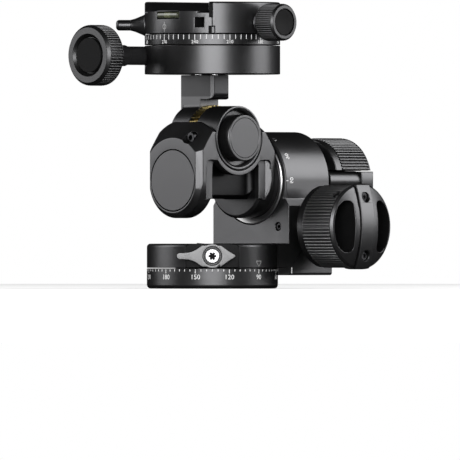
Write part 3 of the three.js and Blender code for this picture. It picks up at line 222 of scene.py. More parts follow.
def softenEdges(obj, width, flatness=0.2):
    # faces that meet under the flatness, in degrees, are joined first
    rules = edgeRules
    bm = bmesh.new()
    bm.from_mesh(obj.data)
    bmesh.ops.remove_doubles(bm, verts=bm.verts, dist=rules["weld"])
    bmesh.ops.dissolve_degenerate(bm, edges=bm.edges, dist=rules["weld"])
    limit = math.radians(flatness)
    bmesh.ops.dissolve_limit(bm, angle_limit=limit, verts=bm.verts, edges=bm.edges)
    manySided = [f for f in bm.faces if len(f.verts) > 4]
    bmesh.ops.triangulate(bm, faces=manySided, quad_method="BEAUTY", ngon_method="BEAUTY")
    before = BVHTree.FromBMesh(bm)
    bm.to_mesh(obj.data)
    bm.free()
    obj.data.shade_smooth()
    bevel = obj.modifiers.new("edges", "BEVEL")
    bevel.width = width
    bevel.segments = rules["segments"]
    bevel.limit_method = "ANGLE"
    bevel.angle_limit = math.radians(rules["bevelFrom"])
    bevel.use_clamp_overlap = False
    baked(obj)
    for vertex in obj.data.vertices:
        # a corner that the bevel throws off the surface comes back to it
        near, _, _, distance = before.find_nearest(vertex.co)
        if distance > rules["stray"] * width:
            vertex.co = near
    return obj


def keepSharp(obj):
    obj.data.shade_smooth()
    obj.data.set_sharp_from_angle(angle=math.radians(edgeRules["sharpFrom"]))


def weighNormals(obj):
    # large faces shade flat and leave the turning of the light to the narrow ones
    weigh = obj.modifiers.new("normals", "WEIGHTED_NORMAL")
    weigh.keep_sharp = True
    return baked(obj)


def finishPiece(obj, name, material, body, nodes=(), edge=0.0, isShaded=False):
    # edge is the width of the broken edges; a piece that is shaded already keeps its own
    if edge:
        softenEdges(obj, edge)
    elif not isShaded:
        keepSharp(obj)
    weighNormals(obj)
    obj.data.transform(Matrix.Scale(mm, 4))
    obj.name = name
    obj.data.name = name
    obj.data.materials.clear()
    obj.data.materials.append(material)
    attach(obj, body)
    if nodes:
        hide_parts(*nodes)
    return obj


# ---- materials
class Val:
    # a shader socket that can be used in a Python expression
    def __init__(self, graph, socket):
        self.graph = graph
        self.socket = socket

    def math(self, operation, a, b):
        return self.graph.add("ShaderNodeMath", {"operation": operation}, {0: a, 1: b})

    def __add__(self, other):
        return self.math("ADD", self, other)

    def __sub__(self, other):
        return self.math("SUBTRACT", self, other)

    def __mul__(self, other):
        return self.math("MULTIPLY", self, other)

    __radd__ = __add__
    __rmul__ = __mul__


class Graph:
    def __init__(self, name):
        self.material = bpy.data.materials.new(name)
        self.material.use_nodes = True
        self.tree = self.material.node_tree
        self.shader = self.tree.nodes["Principled BSDF"]
        self.place = self.add("ShaderNodeTexCoord", {}, {}, "Object")

    def add(self, kind, settings, inputs, output=0):
        node = self.tree.nodes.new(kind)
        for key, value in settings.items():
            if key == "stops":
                ramp = node.color_ramp.elements
                while len(ramp) < len(value):
                    ramp.new(0.5)
                for stop, (position, grey) in zip(ramp, value):
                    stop.position = position
                    stop.color = (grey, grey, grey, 1)
            else:
                setattr(node, key, value)
        self.feed(node, inputs)
        return Val(self, node.outputs[output])

    def feed(self, node, inputs):
        for key, value in inputs.items():
            if isinstance(value, Val):
                self.tree.links.new(value.socket, node.inputs[key])
            else:
                node.inputs[key].default_value = value

    def noise(self, scale, detail=2.0, vector=None):
        inputs = {"Vector": vector or self.place, "Scale": scale, "Detail": detail}
        return self.add("ShaderNodeTexNoise", {}, inputs, "Fac")

    def tint(self, factor, low, high):
        colours = {0: factor, 6: (*low, 1), 7: (*high, 1)}
        return self.add("ShaderNodeMix", {"data_type": "RGBA"}, colours, 2)

    def coordinates(self):
        split = self.tree.nodes.new("ShaderNodeSeparateXYZ")
        self.feed(split, {"Vector": self.place})
        return [Val(self, split.outputs[axis]) for axis in "XYZ"]

    def size(self, value):
        return self.add("ShaderNodeMath", {"operation": "ABSOLUTE"}, {0: value})

    def fadeOut(self, value, start, end):
        # one up to the start, zero from the end on
        fade = {"Value": value, "From Min": start, "From Max": end, "To Min": 1.0, "To Max": 0.0}
        return self.add("ShaderNodeMapRange", {}, fade)

    def nearPlane(self, azimuth, distance):
        # one on an upright plane at this azimuth and distance from the Z axis, zero away from it
        x, y, _ = self.coordinates()
        along = x * math.cos(azimuth) + y * math.sin(azimuth)
        return self.fadeOut(self.size(along - distance * mm), 0.1 * mm, 0.2 * mm)

    def insideBox(self, low, high):
        # one inside a box, given in millimetres for the sizes of x and y and for z
        inside = None
        for value, lowest, highest in zip(self.coordinates(), low, high):
            middle, half = (lowest + highest) / 2, (highest - lowest) / 2
            away = self.size(self.size(value) - middle * mm)
            fade = self.fadeOut(away, half * mm, (half + 0.2) * mm)
            inside = fade if inside is None else inside * fade
        return inside

    def darkened(self, colour, factor, share):
        grey = self.tint(factor, (1, 1, 1), (share, share, share))
        mode = {"data_type": "RGBA", "blend_type": "MULTIPLY"}
        return self.add("ShaderNodeMix", mode, {0: 1.0, 6: colour, 7: grey}, 2)

    def bump(self, height, strength, distance):
        inputs = {"Height": height, "Strength": strength, "Distance": distance}
        return self.add("ShaderNodeBump", {}, inputs)


def anodised(name, low, high, roughness=0.35, metallic=0.95, flat=None, shade=None):
    # bead-blasted and anodised: a fine grain, faint clouds and slightly uneven gloss.
    # flat is a plane and shade a box where the colour is darkened as painted shade, each with the share of
    # colour it keeps.
    g = Graph(name)
    grain = g.noise(5200, 3)
    clouds = g.noise(90, 3)
    colour = g.tint(clouds, low, high)
    # painted shade: darker near the plane and inside the box
    if flat:
        azimuth, distance, share = flat
        colour = g.darkened(colour, g.nearPlane(azimuth, distance), share)
    if shade:
        lowest, highest, share = shade
        colour = g.darkened(colour, g.insideBox(lowest, highest), share)
    g.feed(
        g.shader,
        {
            "Base Color": colour,
            "Roughness": roughness + 0.1 * (grain - 0.5) + 0.08 * (clouds - 0.5),
            "Metallic": metallic,
            "Specular Tint": (0.32, 0.32, 0.32, 1),
            "Normal": g.bump(grain, 0.25, 0.00002),
        },
    )
    return g.material


def turnedMetal(name, low, high, roughness, scratch):
    # turned or brushed bare metal, with fine scratches of uneven depth
    g = Graph(name)
    stretched = g.add("ShaderNodeMapping", {}, {"Vector": g.place, "Scale": (1.0, 1.0, 14.0)})
    lines = g.noise(1400, 4, stretched)
    clouds = g.noise(260, 2)
    g.feed(
        g.shader,
        {
            "Base Color": g.tint(clouds, low, high),
            "Roughness": roughness + scratch * (lines - 0.5),
            "Metallic": 1.0,
            "Normal": g.bump(lines, 0.12, 0.00001),
        },
    )
    return g.material


def moulded(name, low, high, roughness, grainScale=3000.0, specular=0.5):
    g = Graph(name)
    grain = g.noise(grainScale, 2)
    g.feed(
        g.shader,
        {
            "Base Color": g.tint(grain, low, high),
            "Roughness": roughness + 0.12 * (grain - 0.5),
            "Specular IOR Level": specular,
            "Normal": g.bump(grain, 0.3, 0.00003),
        },
    )
    return g.material


black = ((0.08, 0.08, 0.082), (0.092, 0.092, 0.095))  # darkest and lightest
blackAnodised = anodised("blackAnodised", *black)
knobBlack = anodised("knobBlack", *black)
capGrey = anodised("capGrey", *black, 0.36)
ribBlack = anodised("ribBlack", (0.085, 0.085, 0.087), (0.1, 0.1, 0.102), 0.34)
# painted highlight: a lighter copy of the ribs' black finish, for the roll knob's lit ribs
ribPaintedHighlight = anodised("ribPaintedHighlight", (0.24, 0.24, 0.243), (0.27, 0.27, 0.274), 0.34)
lockBlack = anodised("lockBlack", (0.055, 0.055, 0.056), (0.065, 0.065, 0.067))
shaftBlack = anodised("shaftBlack", (0.05, 0.05, 0.052), (0.06, 0.06, 0.062), 0.34, 0.7)
greyAnodised = anodised("greyAnodised", (0.13, 0.13, 0.132), (0.15, 0.15, 0.152), 0.38, 0.85)
polishedSteel = turnedMetal("polishedSteel", (0.58, 0.58, 0.59), (0.66, 0.66, 0.67), 0.2, 0.12)
ringSteel = turnedMetal("ringSteel", (0.5, 0.5, 0.505), (0.58, 0.58, 0.585), 0.36, 0.08)
screwSteel = turnedMetal("screwSteel", (0.34, 0.34, 0.345), (0.4, 0.4, 0.405), 0.3, 0.1)
darkSteel = turnedMetal("darkSteel", (0.028, 0.028, 0.03), (0.05, 0.05, 0.052), 0.34, 0.12)
cutBrass = turnedMetal("cutBrass", (0.24, 0.19, 0.08), (0.3, 0.24, 0.1), 0.36, 0.1)
# black of the rubber pads, also laid as painted shade in the clamp's notches and the lever screw's socket
padBlackAndPaintedShade = moulded("padBlackAndPaintedShade", (0.003, 0.003, 0.0033), (0.006, 0.006, 0.0063), 0.62, specular=0.12)
whiteWasher = moulded("whiteWasher", (0.66, 0.66, 0.64), (0.74, 0.74, 0.72), 0.5)
whiteInk = moulded("whiteInk", (0.76, 0.76, 0.76), (0.84, 0.84, 0.84), 0.55)
faintInk = moulded("faintInk", (0.26, 0.26, 0.26), (0.32, 0.32, 0.32), 0.55)
levelVial = {
    "centre": 1.4, "half": 6.6, "radius": 1.4, "height": 27.2, "depth": 3.2, "bubble": (1.7, 2.1),
}


def makeVialMaterial():
    # green liquid behind a clear wall, with the lighter bubble in its middle
    v = levelVial
    g = Graph("levelVial")
    across = g.coordinates()[0]
    start, end = v["bubble"]
    bubble = g.fadeOut(g.size(across - v["centre"] * mm), start * mm, end * mm)
    g.feed(
        g.shader,
        {
            "Base Color": g.tint(bubble, (0.05, 0.054, 0.036), (0.11, 0.118, 0.07)),
            "Roughness": 0.08 + 0.04 * g.noise(700, 1),
            "Coat Weight": 0.6,
        },
    )
    return g.material


vialGreen = makeVialMaterial()
print("materials made")


# ---- Geometry Nodes: an item repeated round the Z axis
def makeRepeatTree():
    tree = bpy.data.node_groups.new("repeatRound", "GeometryNodeTree")
    face = tree.interface
    face.new_socket("Geometry", in_out="INPUT", socket_type="NodeSocketGeometry")
    for name, kind in (
        ("Item", "NodeSocketObject"),
        ("Count", "NodeSocketInt"),
        ("Radius", "NodeSocketFloat"),
        ("First angle", "NodeSocketFloat"),
        ("Step", "NodeSocketFloat"),
        ("Skip half-angle", "NodeSocketFloat"),
        ("Material", "NodeSocketMaterial"),
    ):
        face.new_socket(name, in_out="INPUT", socket_type=kind)
    face.new_socket("Geometry", in_out="OUTPUT", socket_type="NodeSocketGeometry")
    nodes, link = tree.nodes, tree.links.new

    def node(kind, settings=None, **inputs):
        made = nodes.new(kind)
        for key, value in (settings or {}).items():
            setattr(made, key, value)
        for key, value in inputs.items():
            # i and a number is a socket's place, anything else its name
            slot = made.inputs[int(key[1:])] if key[0] == "i" else made.inputs[key]
            if isinstance(value, bpy.types.NodeSocket):
                link(value, slot)
            else:
                slot.default_value = value
        return made

    def maths(operation, *values):
        inputs = {"i" + str(i): value for i, value in enumerate(values)}
        return node("ShaderNodeMath", {"operation": operation}, **inputs).outputs[0]

    given = node("NodeGroupInput").outputs
    index = node("GeometryNodeInputIndex").outputs[0]
    angle = maths("ADD", maths("MULTIPLY", index, given["Step"]), given["First angle"])
    sine = maths("SINE", angle)
    x = maths("MULTIPLY", maths("COSINE", angle), given["Radius"])
    y = maths("MULTIPLY", sine, given["Radius"])
    spot = node("ShaderNodeCombineXYZ", i0=x, i1=y).outputs[0]
    points = node("GeometryNodePoints", i0=given["Count"], i1=spot).outputs[0]
    spin = node("ShaderNodeCombineXYZ", i2=angle).outputs[0]
    vector = {"data_type": "FLOAT_VECTOR"}
    stored = node("GeometryNodeStoreNamedAttribute", vector, i0=points, Name="spin", Value=spin).outputs[0]
    near = maths("LESS_THAN", maths("ABSOLUTE", sine), maths("SINE", given["Skip half-angle"]))
    kept = node("GeometryNodeDeleteGeometry", {"domain": "POINT"}, i0=stored, i1=near).outputs[0]
    turn = node("GeometryNodeInputNamedAttribute", vector, Name="spin").outputs[0]
    item = node("GeometryNodeObjectInfo", i0=given["Item"]).outputs["Geometry"]
    copies = node("GeometryNodeInstanceOnPoints", Points=kept, Instance=item, Rotation=turn).outputs[0]
    real = node("GeometryNodeRealizeInstances", i0=copies).outputs[0]
    painted = node("GeometryNodeSetMaterial", Geometry=real, Material=given["Material"]).outputs[0]
    node("NodeGroupOutput", i0=painted)
    return tree


repeatTree = makeRepeatTree()
repeatSockets = {
    s.name: s.identifier
    for s in repeatTree.interface.items_tree
    if s.item_type == "SOCKET" and s.in_out == "INPUT"
}


def repeatRound(item, count, radius, material, place=Matrix(), axis="z", first=0.0, step=None, skip=0.0):
    host = bpy.data.objects.new("repeat", bpy.data.meshes.new("repeat"))
    bpy.context.scene.collection.objects.link(host)
    modifier = host.modifiers.new("repeat", "NODES")
    modifier.node_group = repeatTree
    values = {
        "Item": item,
        "Count": count,
        "Radius": float(radius),
        "First angle": float(first),
        "Step": float(2 * math.pi / count if step is None else step),
        "Skip half-angle": float(skip),
        "Material": material,
    }
    for name, value in values.items():
        modifier[repeatSockets[name]] = value
    baked(host)
    bpy.data.objects.remove(item)
    return placed(host, place @ axisTurn[axis])


# ---- marks: ticks by Geometry Nodes, numerals and signs wrapped on a round surface
ink = {"proud": 0.03, "below": 0.2}  # height above the surface, and depth under it


def tickRing(count, radius, low, high, width, place=Matrix(), first=0.0, step=None):
    tick = block((-ink["below"], ink["proud"]), (-width / 2, width / 2), (low, high))
    return repeatRound(tick, count, radius, whiteInk, place, "z", first, step)


def wrapped(obj, radius, angle, level):
    # lays a flat form on a cylinder about Z; its own depth becomes the height above the surface
    for vertex in obj.data.vertices:
        u, v, depth = vertex.co
        turn = angle + u / radius
        r = radius + depth
        vertex.co = (r * math.cos(turn), r * math.sin(turn), level + v)
    return obj


def lettering(text, size):
    curve = bpy.data.curves.new("text", "FONT")
    curve.body = text
    curve.size = size
    curve.align_x = "CENTER"
    curve.align_y = "CENTER"
    curve.extrude = ink["proud"]
    curve.resolution_u = 3
    source = bpy.data.objects.new("text", curve)
    bpy.context.scene.collection.objects.link(source)
    graph = bpy.context.evaluated_depsgraph_get()
    mesh = bpy.data.meshes.new_from_object(source.evaluated_get(graph), depsgraph=graph)
    bpy.data.objects.remove(source)
    obj = bpy.data.objects.new("text", mesh)
    bpy.context.scene.collection.objects.link(obj)
    bm = bmesh.new()
    bm.from_mesh(mesh)
    bmesh.ops.remove_doubles(bm, verts=bm.verts, dist=weld)
    bmesh.ops.recalc_face_normals(bm, faces=bm.faces)
    bm.to_mesh(mesh)
    bm.free()
    return obj


def degreeScale(s, radius, place=Matrix()):
    # fine ticks, longer ones below them, and numbers
    fine = tickRing(s["ticks"], radius, s["tickLow"], s["tickTop"], s["width"], place)
    longer = tickRing(s["longTicks"], radius, s["longLow"], s["tickLow"], s["width"], place)
    numbers = [
        placed(
            wrapped(lettering(str(n), s["size"]), radius, math.radians(s["zeroAt"] - n), s["numbers"]),
            place,
        )
        for n in range(0, 360, 360 // s["longTicks"])
    ]
    return merged(fine, longer, *numbers)


# ---- base
baseRing = {
    "radius": 30, "height": 9.2, "foot": 1.8, "bore": 8.0, "spigot": 17, "spigotTop": 17.5,
}
panScale = {
    "ticks": 72, "longTicks": 12, "width": 0.34, "zeroAt": 90,
    "tickLow": 7.9, "longLow": 7.0, "tickTop": 8.85, "numbers": 5.25, "size": 3.1,
}


def makeBase():
    b = baseRing
    body = turned("z", rounded([
        (b["bore"], 0, 0.3), (b["radius"], 0, b["foot"]), (b["radius"], b["height"], 0.25),
        (b["spigot"], b["height"]), (b["spigot"], b["spigotTop"]), (b["bore"], b["spigotTop"]),
    ]))
    finishPiece(body, "base_ring_round", blackAnodised, "base", ["base_ring"])
    finishPiece(degreeScale(panScale, b["radius"]), "pan_scale", whiteInk, "base")
    print("base made")


# ---- panning bracket
bracket = {
    "ringBottom": 9.5, "ringTop": 20.55, "ringRound": 1.6, "plateSeat": 20.3,
    "half": 24.5, "front": 24.9, "back": 53.2, "heel": 6.1, "heelRound": 1.2, "clear": 30.4,
    "hornClear": 28.1, "blockTop": 38, "ledgeSlope": 1.5,
    "drum": 22.4, "drumChamfer": 0.5, "chamferFrom": 41.2,
    "chamber": 17.8, "chamberStart": 33, "chamberEnd": 50.2, "rearHole": 15.5,
}
wormSeat = {
    # the roll worm's bore, the seats of its end cap and bush, and the set screw's hole
    "bore": 6.1, "cap": 8.3, "capFloor": -21.5, "bush": 7.8, "bushFloor": 11.7,
    "screwSide": 17.6, "screwHole": 1.9, "screwHoleEnd": 31.55,
}
bearing = {"inner": 17.1, "outer": 19.9, "length": 8.2, "dish": 1.0}
rearCap = {"bore": 8.9, "neck": 15.2, "start": 50.5, "seat": 53.5, "radius": 18.1, "end": 57.5}
wormBush = {"bore": 3.3, "radius": 7.5, "start": 12, "end": 31}
wormCap = {"bore": 3.3, "radius": 8, "start": -22.1, "end": -24.8}
setScrew = {"radius": 1.6, "length": 5.2, "socket": 0.95, "socketDepth": 2.0, "sunk": 0.6}
drumScrew = {
    "angle": 57.9, "setback": 28.3, "radius": 1.3, "length": 1.0, "socket": 0.65, "socketDepth": 0.6,
}
lever = {
    "azimuth": -math.pi / 4, "height": 14.9, "flat": 27.5, "hub": 5.5, "hubDepth": 4,
    "depth": 2.8, "longArm": 16.3, "shortArm": 10.5, "screw": 3.3, "socket": 1.9, "stud": 1.9,
    "groove": (4.1, 4.4), "pocket": (-5.7, 8), "limits": (-22, 12), "ringRoom": 0.15,
}
leverPlace = placeAt(0, 0, lever["height"], lever["azimuth"])
# painted shade: the flat behind the lever is painted nearly black
bracketBlackWithPaintedShade = anodised("bracketBlackWithPaintedShade", *black, flat=(lever["azimuth"], lever["flat"], 0.08))


def socketScrew(radius, length, socket, place, socketDepth):
    # a cap screw along local +X whose head ends at zero, with a hexagonal socket
    screw = turned("x", rounded([(0, -length), (radius, -length), (radius, 0, 0.25), (0, 0)]), place)
    return shaped(screw, cuts=[rod("x", socket, -socketDepth, overrun, place, 6)])


def makeBracket():
    b, w = bracket, wormSeat
    outer, bore = baseRing["radius"], baseRing["spigot"] + gap
    ring = turned("z", rounded([
        (bore, b["ringBottom"]), (outer, b["ringBottom"], 0.25), (outer, b["ringTop"], b["ringRound"]),
        (b["plateSeat"], b["ringTop"]), (b["plateSeat"], baseRing["spigotTop"]),
        (bore, baseRing["spigotTop"]),
    ]))
    ledge = b["blockTop"] - rollZ
    heel = b["heel"] - rollZ
    right = rounded([
        (0, heel), (b["half"], heel, b["heelRound"]), (b["half"], ledge), (0, ledge),
    ])[1:-1]
    right.append((b["drum"], ledge + b["ledgeSlope"] * (b["half"] - b["drum"])))
    over = arcPoints(b["drum"], 0, math.pi, 96)
    outline = right + over + [(-x, z) for x, z in reversed(right)]
    upright = prism("y", outline, b["front"], b["back"], rollPlace)
    # chamfer round the front of the drum, above the shoulders
    rim = b["drum"] - b["drumChamfer"]
    reach = 3
    chamfer = shaped(
        turned("y", [
            (rim, b["front"]), (rim + reach, b["front"] + reach),
            (rim + reach, b["front"] - 1), (rim, b["front"] - 1),
        ], rollPlace),
        keeps=[block((-30, 30), (20, 30), (b["chamferFrom"], 80))],
    )
    shaped(upright, cuts=[chamfer])
    hornFront = math.sqrt(b["clear"] ** 2 - b["half"] ** 2) / 2
    horns = shaped(
        block((-b["half"], b["half"]), (hornFront, b["front"] + gap), (b["heel"], b["ringTop"])),
        cuts=[rod("z", b["hornClear"], 0, 30)],
    )
    wormPlace = placeAt(0, head["rollWormSetback"], wormZ)
    screwPlace = placeAt(w["screwSide"], 0, wormZ)
    past = b["half"] + 2.5
    seatEnd = b["front"] + bearing["length"] + gap
    body = shaped(
        ring,
        adds=[upright, horns],
        cuts=[
            rod("z", b["clear"], 0, b["ringBottom"]),
            rod("y", bearing["outer"] + gap, b["front"] - overrun, seatEnd, rollPlace),
            rod("y", b["chamber"], b["chamberStart"], b["chamberEnd"], rollPlace),
            rod("y", b["rearHole"], 50, 56, rollPlace),
            rod("x", w["bore"], -past, past, wormPlace),
            rod("x", w["cap"], -past, w["capFloor"], wormPlace),
            rod("x", w["bush"], w["bushFloor"], past, wormPlace),
            rod("y", w["screwHole"], 22, w["screwHoleEnd"], screwPlace, 32),
            block((lever["flat"], 33), (-30, 30), lever["pocket"], leverPlace),
            rod("x", lever["stud"] + gap, 17, 30, leverPlace),
        ],
    )
    finishPiece(body, "bracket_body", bracketBlackWithPaintedShade, "pan_bracket", ["bracket"], edge=0.3)
    e = bearing
    ring = turned("y", rounded([
        (e["inner"], b["front"] + e["dish"]), (e["outer"] - 0.4, b["front"]),
        (e["outer"], b["front"] + 0.4), (e["outer"], b["front"] + e["length"]),
        (e["inner"], b["front"] + e["length"]),
    ]), rollPlace)
    finishPiece(ring, "roll_ring", ringSteel, "pan_bracket", ["roll_bearing_ring"])
    c = rearCap
    cap = turned("y", rounded([
        (c["bore"], c["start"]), (c["neck"], c["start"]), (c["neck"], c["seat"]), (c["radius"], c["seat"]),
        (c["radius"], c["end"], 0.9), (c["bore"], c["end"], 0.4),
    ]), rollPlace)
    finishPiece(cap, "rear_cap", blackAnodised, "pan_bracket", ["roll_rear_cap"])
    c = wormBush
    bush = turned("x", rounded([
        (c["bore"], c["start"]), (c["radius"], c["start"]), (c["radius"], c["end"], 0.3),
        (c["bore"], c["end"]),
    ]), wormPlace)
    finishPiece(bush, "worm_bush", blackAnodised, "pan_bracket", ["roll_worm_bush"])
    c = wormCap
    endCap = turned("x", rounded([
        (c["bore"], c["start"]), (c["radius"], c["start"]), (c["radius"], c["end"], 0.4), (0, c["end"]),
    ]), wormPlace)
    finishPiece(endCap, "worm_end_cap", blackAnodised, "pan_bracket", ["roll_worm_end_cap"])
    s = setScrew
    spot = placeAt(w["screwSide"], b["front"] + s["sunk"], wormZ, -math.pi / 2)
    screw = socketScrew(s["radius"], s["length"], s["socket"], spot, s["socketDepth"])
    finishPiece(screw, "bush_screw", darkSteel, "pan_bracket", ["bush_set_screw"])
    s = drumScrew
    turn = Matrix.Rotation(-math.radians(s["angle"]), 4, "Y")
    spot = rollPlace @ turn @ placeAt(b["drum"] + ink["proud"], s["setback"], 0)
    screw = socketScrew(s["radius"], s["length"], s["socket"], spot, s["socketDepth"])
    finishPiece(screw, "drum_screw", ringSteel, "pan_bracket")
    print("bracket made")


rollScale = {
    "numbers": (0, 30, 60, 90), "zeroAt": 60, "size": 3.1, "setback": 3.9,
    "ticks": 7, "tickStep": 10, "tickStart": 0.6, "tickEnd": 1.8, "width": 0.34,
}


def makeRollScale():
    s = rollScale
    radius, start = bracket["drum"], bracket["front"]
    marks = [
        wrapped(lettering(str(n), s["size"]), radius, math.radians(n - s["zeroAt"]), start + s["setback"])
        for n in s["numbers"]
    ]
    ticks = tickRing(
        s["ticks"], radius, start + s["tickStart"], start + s["tickEnd"], s["width"],
        first=-math.radians(s["zeroAt"]), step=math.radians(s["tickStep"]),
    )
    scale = placed(merged(ticks, *marks), rollPlace @ axisTurn["y"])
    finishPiece(scale, "roll_scale", whiteInk, "pan_bracket")


panIndex = {
    "sign": [(-1.5, 1.3), (1.5, 1.3), (1.5, 0.5), (0, -1.5), (-1.5, 0.5)], "inside": 0.74,
    "height": 11.5, "stripAcross": (26.6, 27.1), "stripHeights": (7.0, 9.6),
}


def makePanIndex():
    p, thin = panIndex, ink["proud"]
    inner = [(p["inside"] * x, p["inside"] * y) for x, y in p["sign"]]
    sign = shaped(prism("z", p["sign"], -thin, thin), cuts=[prism("z", inner, -1, 1)])
    wrapped(sign, baseRing["radius"], 0.0, p["height"])
    finishPiece(sign, "pan_index", faintInk, "pan_bracket")
    # a small white strip on the heel's side
    side = bracket["half"]
    tick = block((side - ink["below"], side + thin), p["stripAcross"], p["stripHeights"])
    finishPiece(tick, "heel_tick", whiteInk, "pan_bracket")


def leverOutline():
    # half-widths are shares of the hub's radius, and places are shares of each arm
    tip = [(1, 0), (0.985, 0.17), (0.93, 0.26)]
    flare = [(0.8, 0.265), (0.66, 0.3), (0.54, 0.4), (0.44, 0.56), (0.36, 0.73), (0.28, 0.88)]
    blunt = [(0.38, 0.86), (0.5, 0.7), (0.64, 0.5), (0.8, 0.3), (0.94, 0.15), (0.99, 0.07), (1, 0)]
    upper = [(-a * lever["longArm"], w * lever["hub"]) for a, w in tip + flare]
    upper += [(a * lever["shortArm"], w * lever["hub"]) for a, w in blunt]
    return upper + [(y, -z) for y, z in reversed(upper[1:-1])]


def makeLever():
    v = lever
    hub = v["hub"]
    back = v["flat"] + gap
    front = back + v["hubDepth"]
    # the back is relieved where it passes the base ring at both ends of its swing
    reliefs = []
    for limit in v["limits"]:
        swing = Matrix.Rotation(-math.radians(limit), 4, "X")
        ringPlace = leverPlace @ swing @ leverPlace.inverted()
        room = v["ringRoom"]
        reliefs.append(rod("z", baseRing["radius"] + room, 0, baseRing["height"] + room, ringPlace))
    body = shaped(
        turned("x", rounded([(0, back), (hub, back, 0.2), (hub, front), (0, front)]), leverPlace),
        adds=[prism("x", leverOutline(), front - v["depth"], front, leverPlace)],
        cuts=[
            rod("x", v["stud"] + gap, 0, 40, leverPlace),
            rod("x", v["screw"] + gap, front - 1.2, 40, leverPlace),
            tube("x", *v["groove"], front - 0.3, front + overrun, leverPlace),
            *reliefs,
        ],
    )
    finishPiece(body, "pan_lever_body", greyAnodised, "pan_lock_lever", ["pan_lever"], edge=0.18)
    # the screw stands a little proud, and its socket has six lobes and a pin
    place = leverPlace @ placeAt(front, 0, 0)
    under, floor, proud = -0.9, -0.7, 0.12
    lobes = [
        place @ Matrix.Rotation(math.pi * i / 3, 4, "X") @ placeAt(0, 0.68 * v["socket"], 0)
        for i in range(6)
    ]
    screw = shaped(
        turned("x", rounded([
            (0, under), (v["screw"], under), (v["screw"], proud, 0.35), (0, proud),
        ]), place),
        cuts=[rod("x", 0.62 * v["socket"], floor, overrun, place)]
        + [rod("x", 0.3 * v["socket"], floor, overrun, lobe) for lobe in lobes],
    )
    finishPiece(screw, "pan_lever_torx", screwSteel, "pan_lock_lever", ["pan_lever_screw"])
    # painted shade: the socket's floor and pin are painted near black
    bottom = merged(
        rod("x", 0.95 * v["socket"], floor - 0.1, floor + 0.1, place),
        rod("x", 0.3, floor + 0.1, floor + 0.6, place),
    )
    finishPiece(bottom, "pan_lever_socket", padBlackAndPaintedShade, "pan_lock_lever")
    print("lever made")


# ---- rolling housing
housing = {
    "front": 25.7, "wall": 15, "half": 17.2, "topRadius": 28, "top": 26.8, "frontHalf": 14.7,
    "frontTop": 19.4, "frontBottom": 15.1, "shoulder": 9.4, "bar": 8.8, "barChamfer": 1.6,
    "hollowRound": 3.9, "sideDepth": 2.16, "sideHalf": 21.2, "horn": 2.0, "wallEdge": 1.2,
    "rearFace": 24.45,
}
spindle = {
    "bore": 6.1, "shoulder": 16.8, "shoulderEnd": 34.5, "wheelSeat": 12.6, "wheelEnd": 46.5,
    "tip": 8.6, "end": 57.2,
}
boss = {
    "radius": 14.6, "start": 2.8, "recess": 12.65, "depth": 3.2, "bevel": 0.95,
    "groove": 0.5, "lip": 2.0, "lipBack": 13.2, "drumRoom": 15.7, "axleBore": 8.5,
}
cover = {"radius": 13.9, "depth": 3}
# painted shade: the bar and hollows between the end walls are painted darker
housingBlackWithPaintedShade = anodised("housingBlackWithPaintedShade", *black, shade=((0, 0, 20), (12.5, 14.9, rollZ + 9.2), 0.25))
housingScrew = {
    "side": 9, "height": 19.6, "radius": 2.4, "length": 7, "socket": 1.3, "socketDepth": 1.4,
}


def endWall(side):
    # a round wall with a raised top, chamfered at the sides and coned towards its face
    h = housing
    start, end = sorted((side * h["wall"], side * h["front"]))
    wide = h["topRadius"] + overrun
    corner = math.sqrt(h["topRadius"] ** 2 - h["half"] ** 2)
    crest = math.sqrt(h["topRadius"] ** 2 - h["top"] ** 2)
    arc = arcPoints(h["topRadius"], math.atan2(corner, h["half"]), math.atan2(h["top"], crest), 10)
    outline = arcPoints(h["half"], -math.pi, 0, 72) + arc + [(-x, z) for x, z in reversed(arc)]

    def cone(faceRadius, low, high):
        face = side * h["front"]
        edge = side * (h["front"] - (wide - faceRadius))
        form = turned("y", [(0, face), (faceRadius, face), (wide, edge), (wide, 0), (0, 0)])
        return shaped(form, keeps=[block((-wide, wide), (-wide, wide), (low, high))])

    chamfer = h["half"] - h["frontHalf"]
    inner = side * (h["front"] - chamfer)
    plan = [
        (-h["half"], 0), (-h["half"], inner), (-h["frontHalf"], side * h["front"]),
        (h["frontHalf"], side * h["front"]), (h["half"], inner), (h["half"], 0),
    ]
    faces = shaped(cone(h["frontTop"], -gap, wide), adds=[cone(h["frontBottom"], -wide, 0)])
    return shaped(prism("y", outline, start, end), keeps=[prism("z", plan, -wide, wide), faces])


def sideRecess(side):
    # what is cut from the housing's side between the end walls, with round upper corners
    h = housing
    floor = side * (h["half"] - h["sideDepth"])
    past = side * (h["half"] + overrun)
    floorHalf = h["sideHalf"] - h["sideDepth"]
    pastHalf = h["sideHalf"] + overrun
    plan = prism("z", [
        (floor, -floorHalf), (floor, floorHalf), (past, pastHalf), (past, -pastHalf),
    ], -30, 30)
    top = h["shoulder"]
    wide = h["sideHalf"] - 0.6
    face = rounded([(-wide, -30), (wide, -30), (wide, top, h["horn"]), (-wide, top, h["horn"])], 10)
    low = block((-40, 40), (-40, 40), (-30, top - 2 * h["horn"]))
    return shaped(plan, keeps=[shaped(prism("x", face, -30, 30), adds=[low])])


def wallCone(side, bottom):
    # chamfer round the inner edge of an end wall, below the bar
    h = housing
    edge = h["half"] - h["wallEdge"]
    reach = 30 - edge
    ring = turned("y", [
        (edge, side * h["wall"]), (30, side * (h["wall"] + reach)),
        (30, side * (h["wall"] - overrun)), (edge, side * (h["wall"] - overrun)),
    ])
    return shaped(ring, keeps=[block((-30, 30), (-30, 30), (-30, -bottom))])


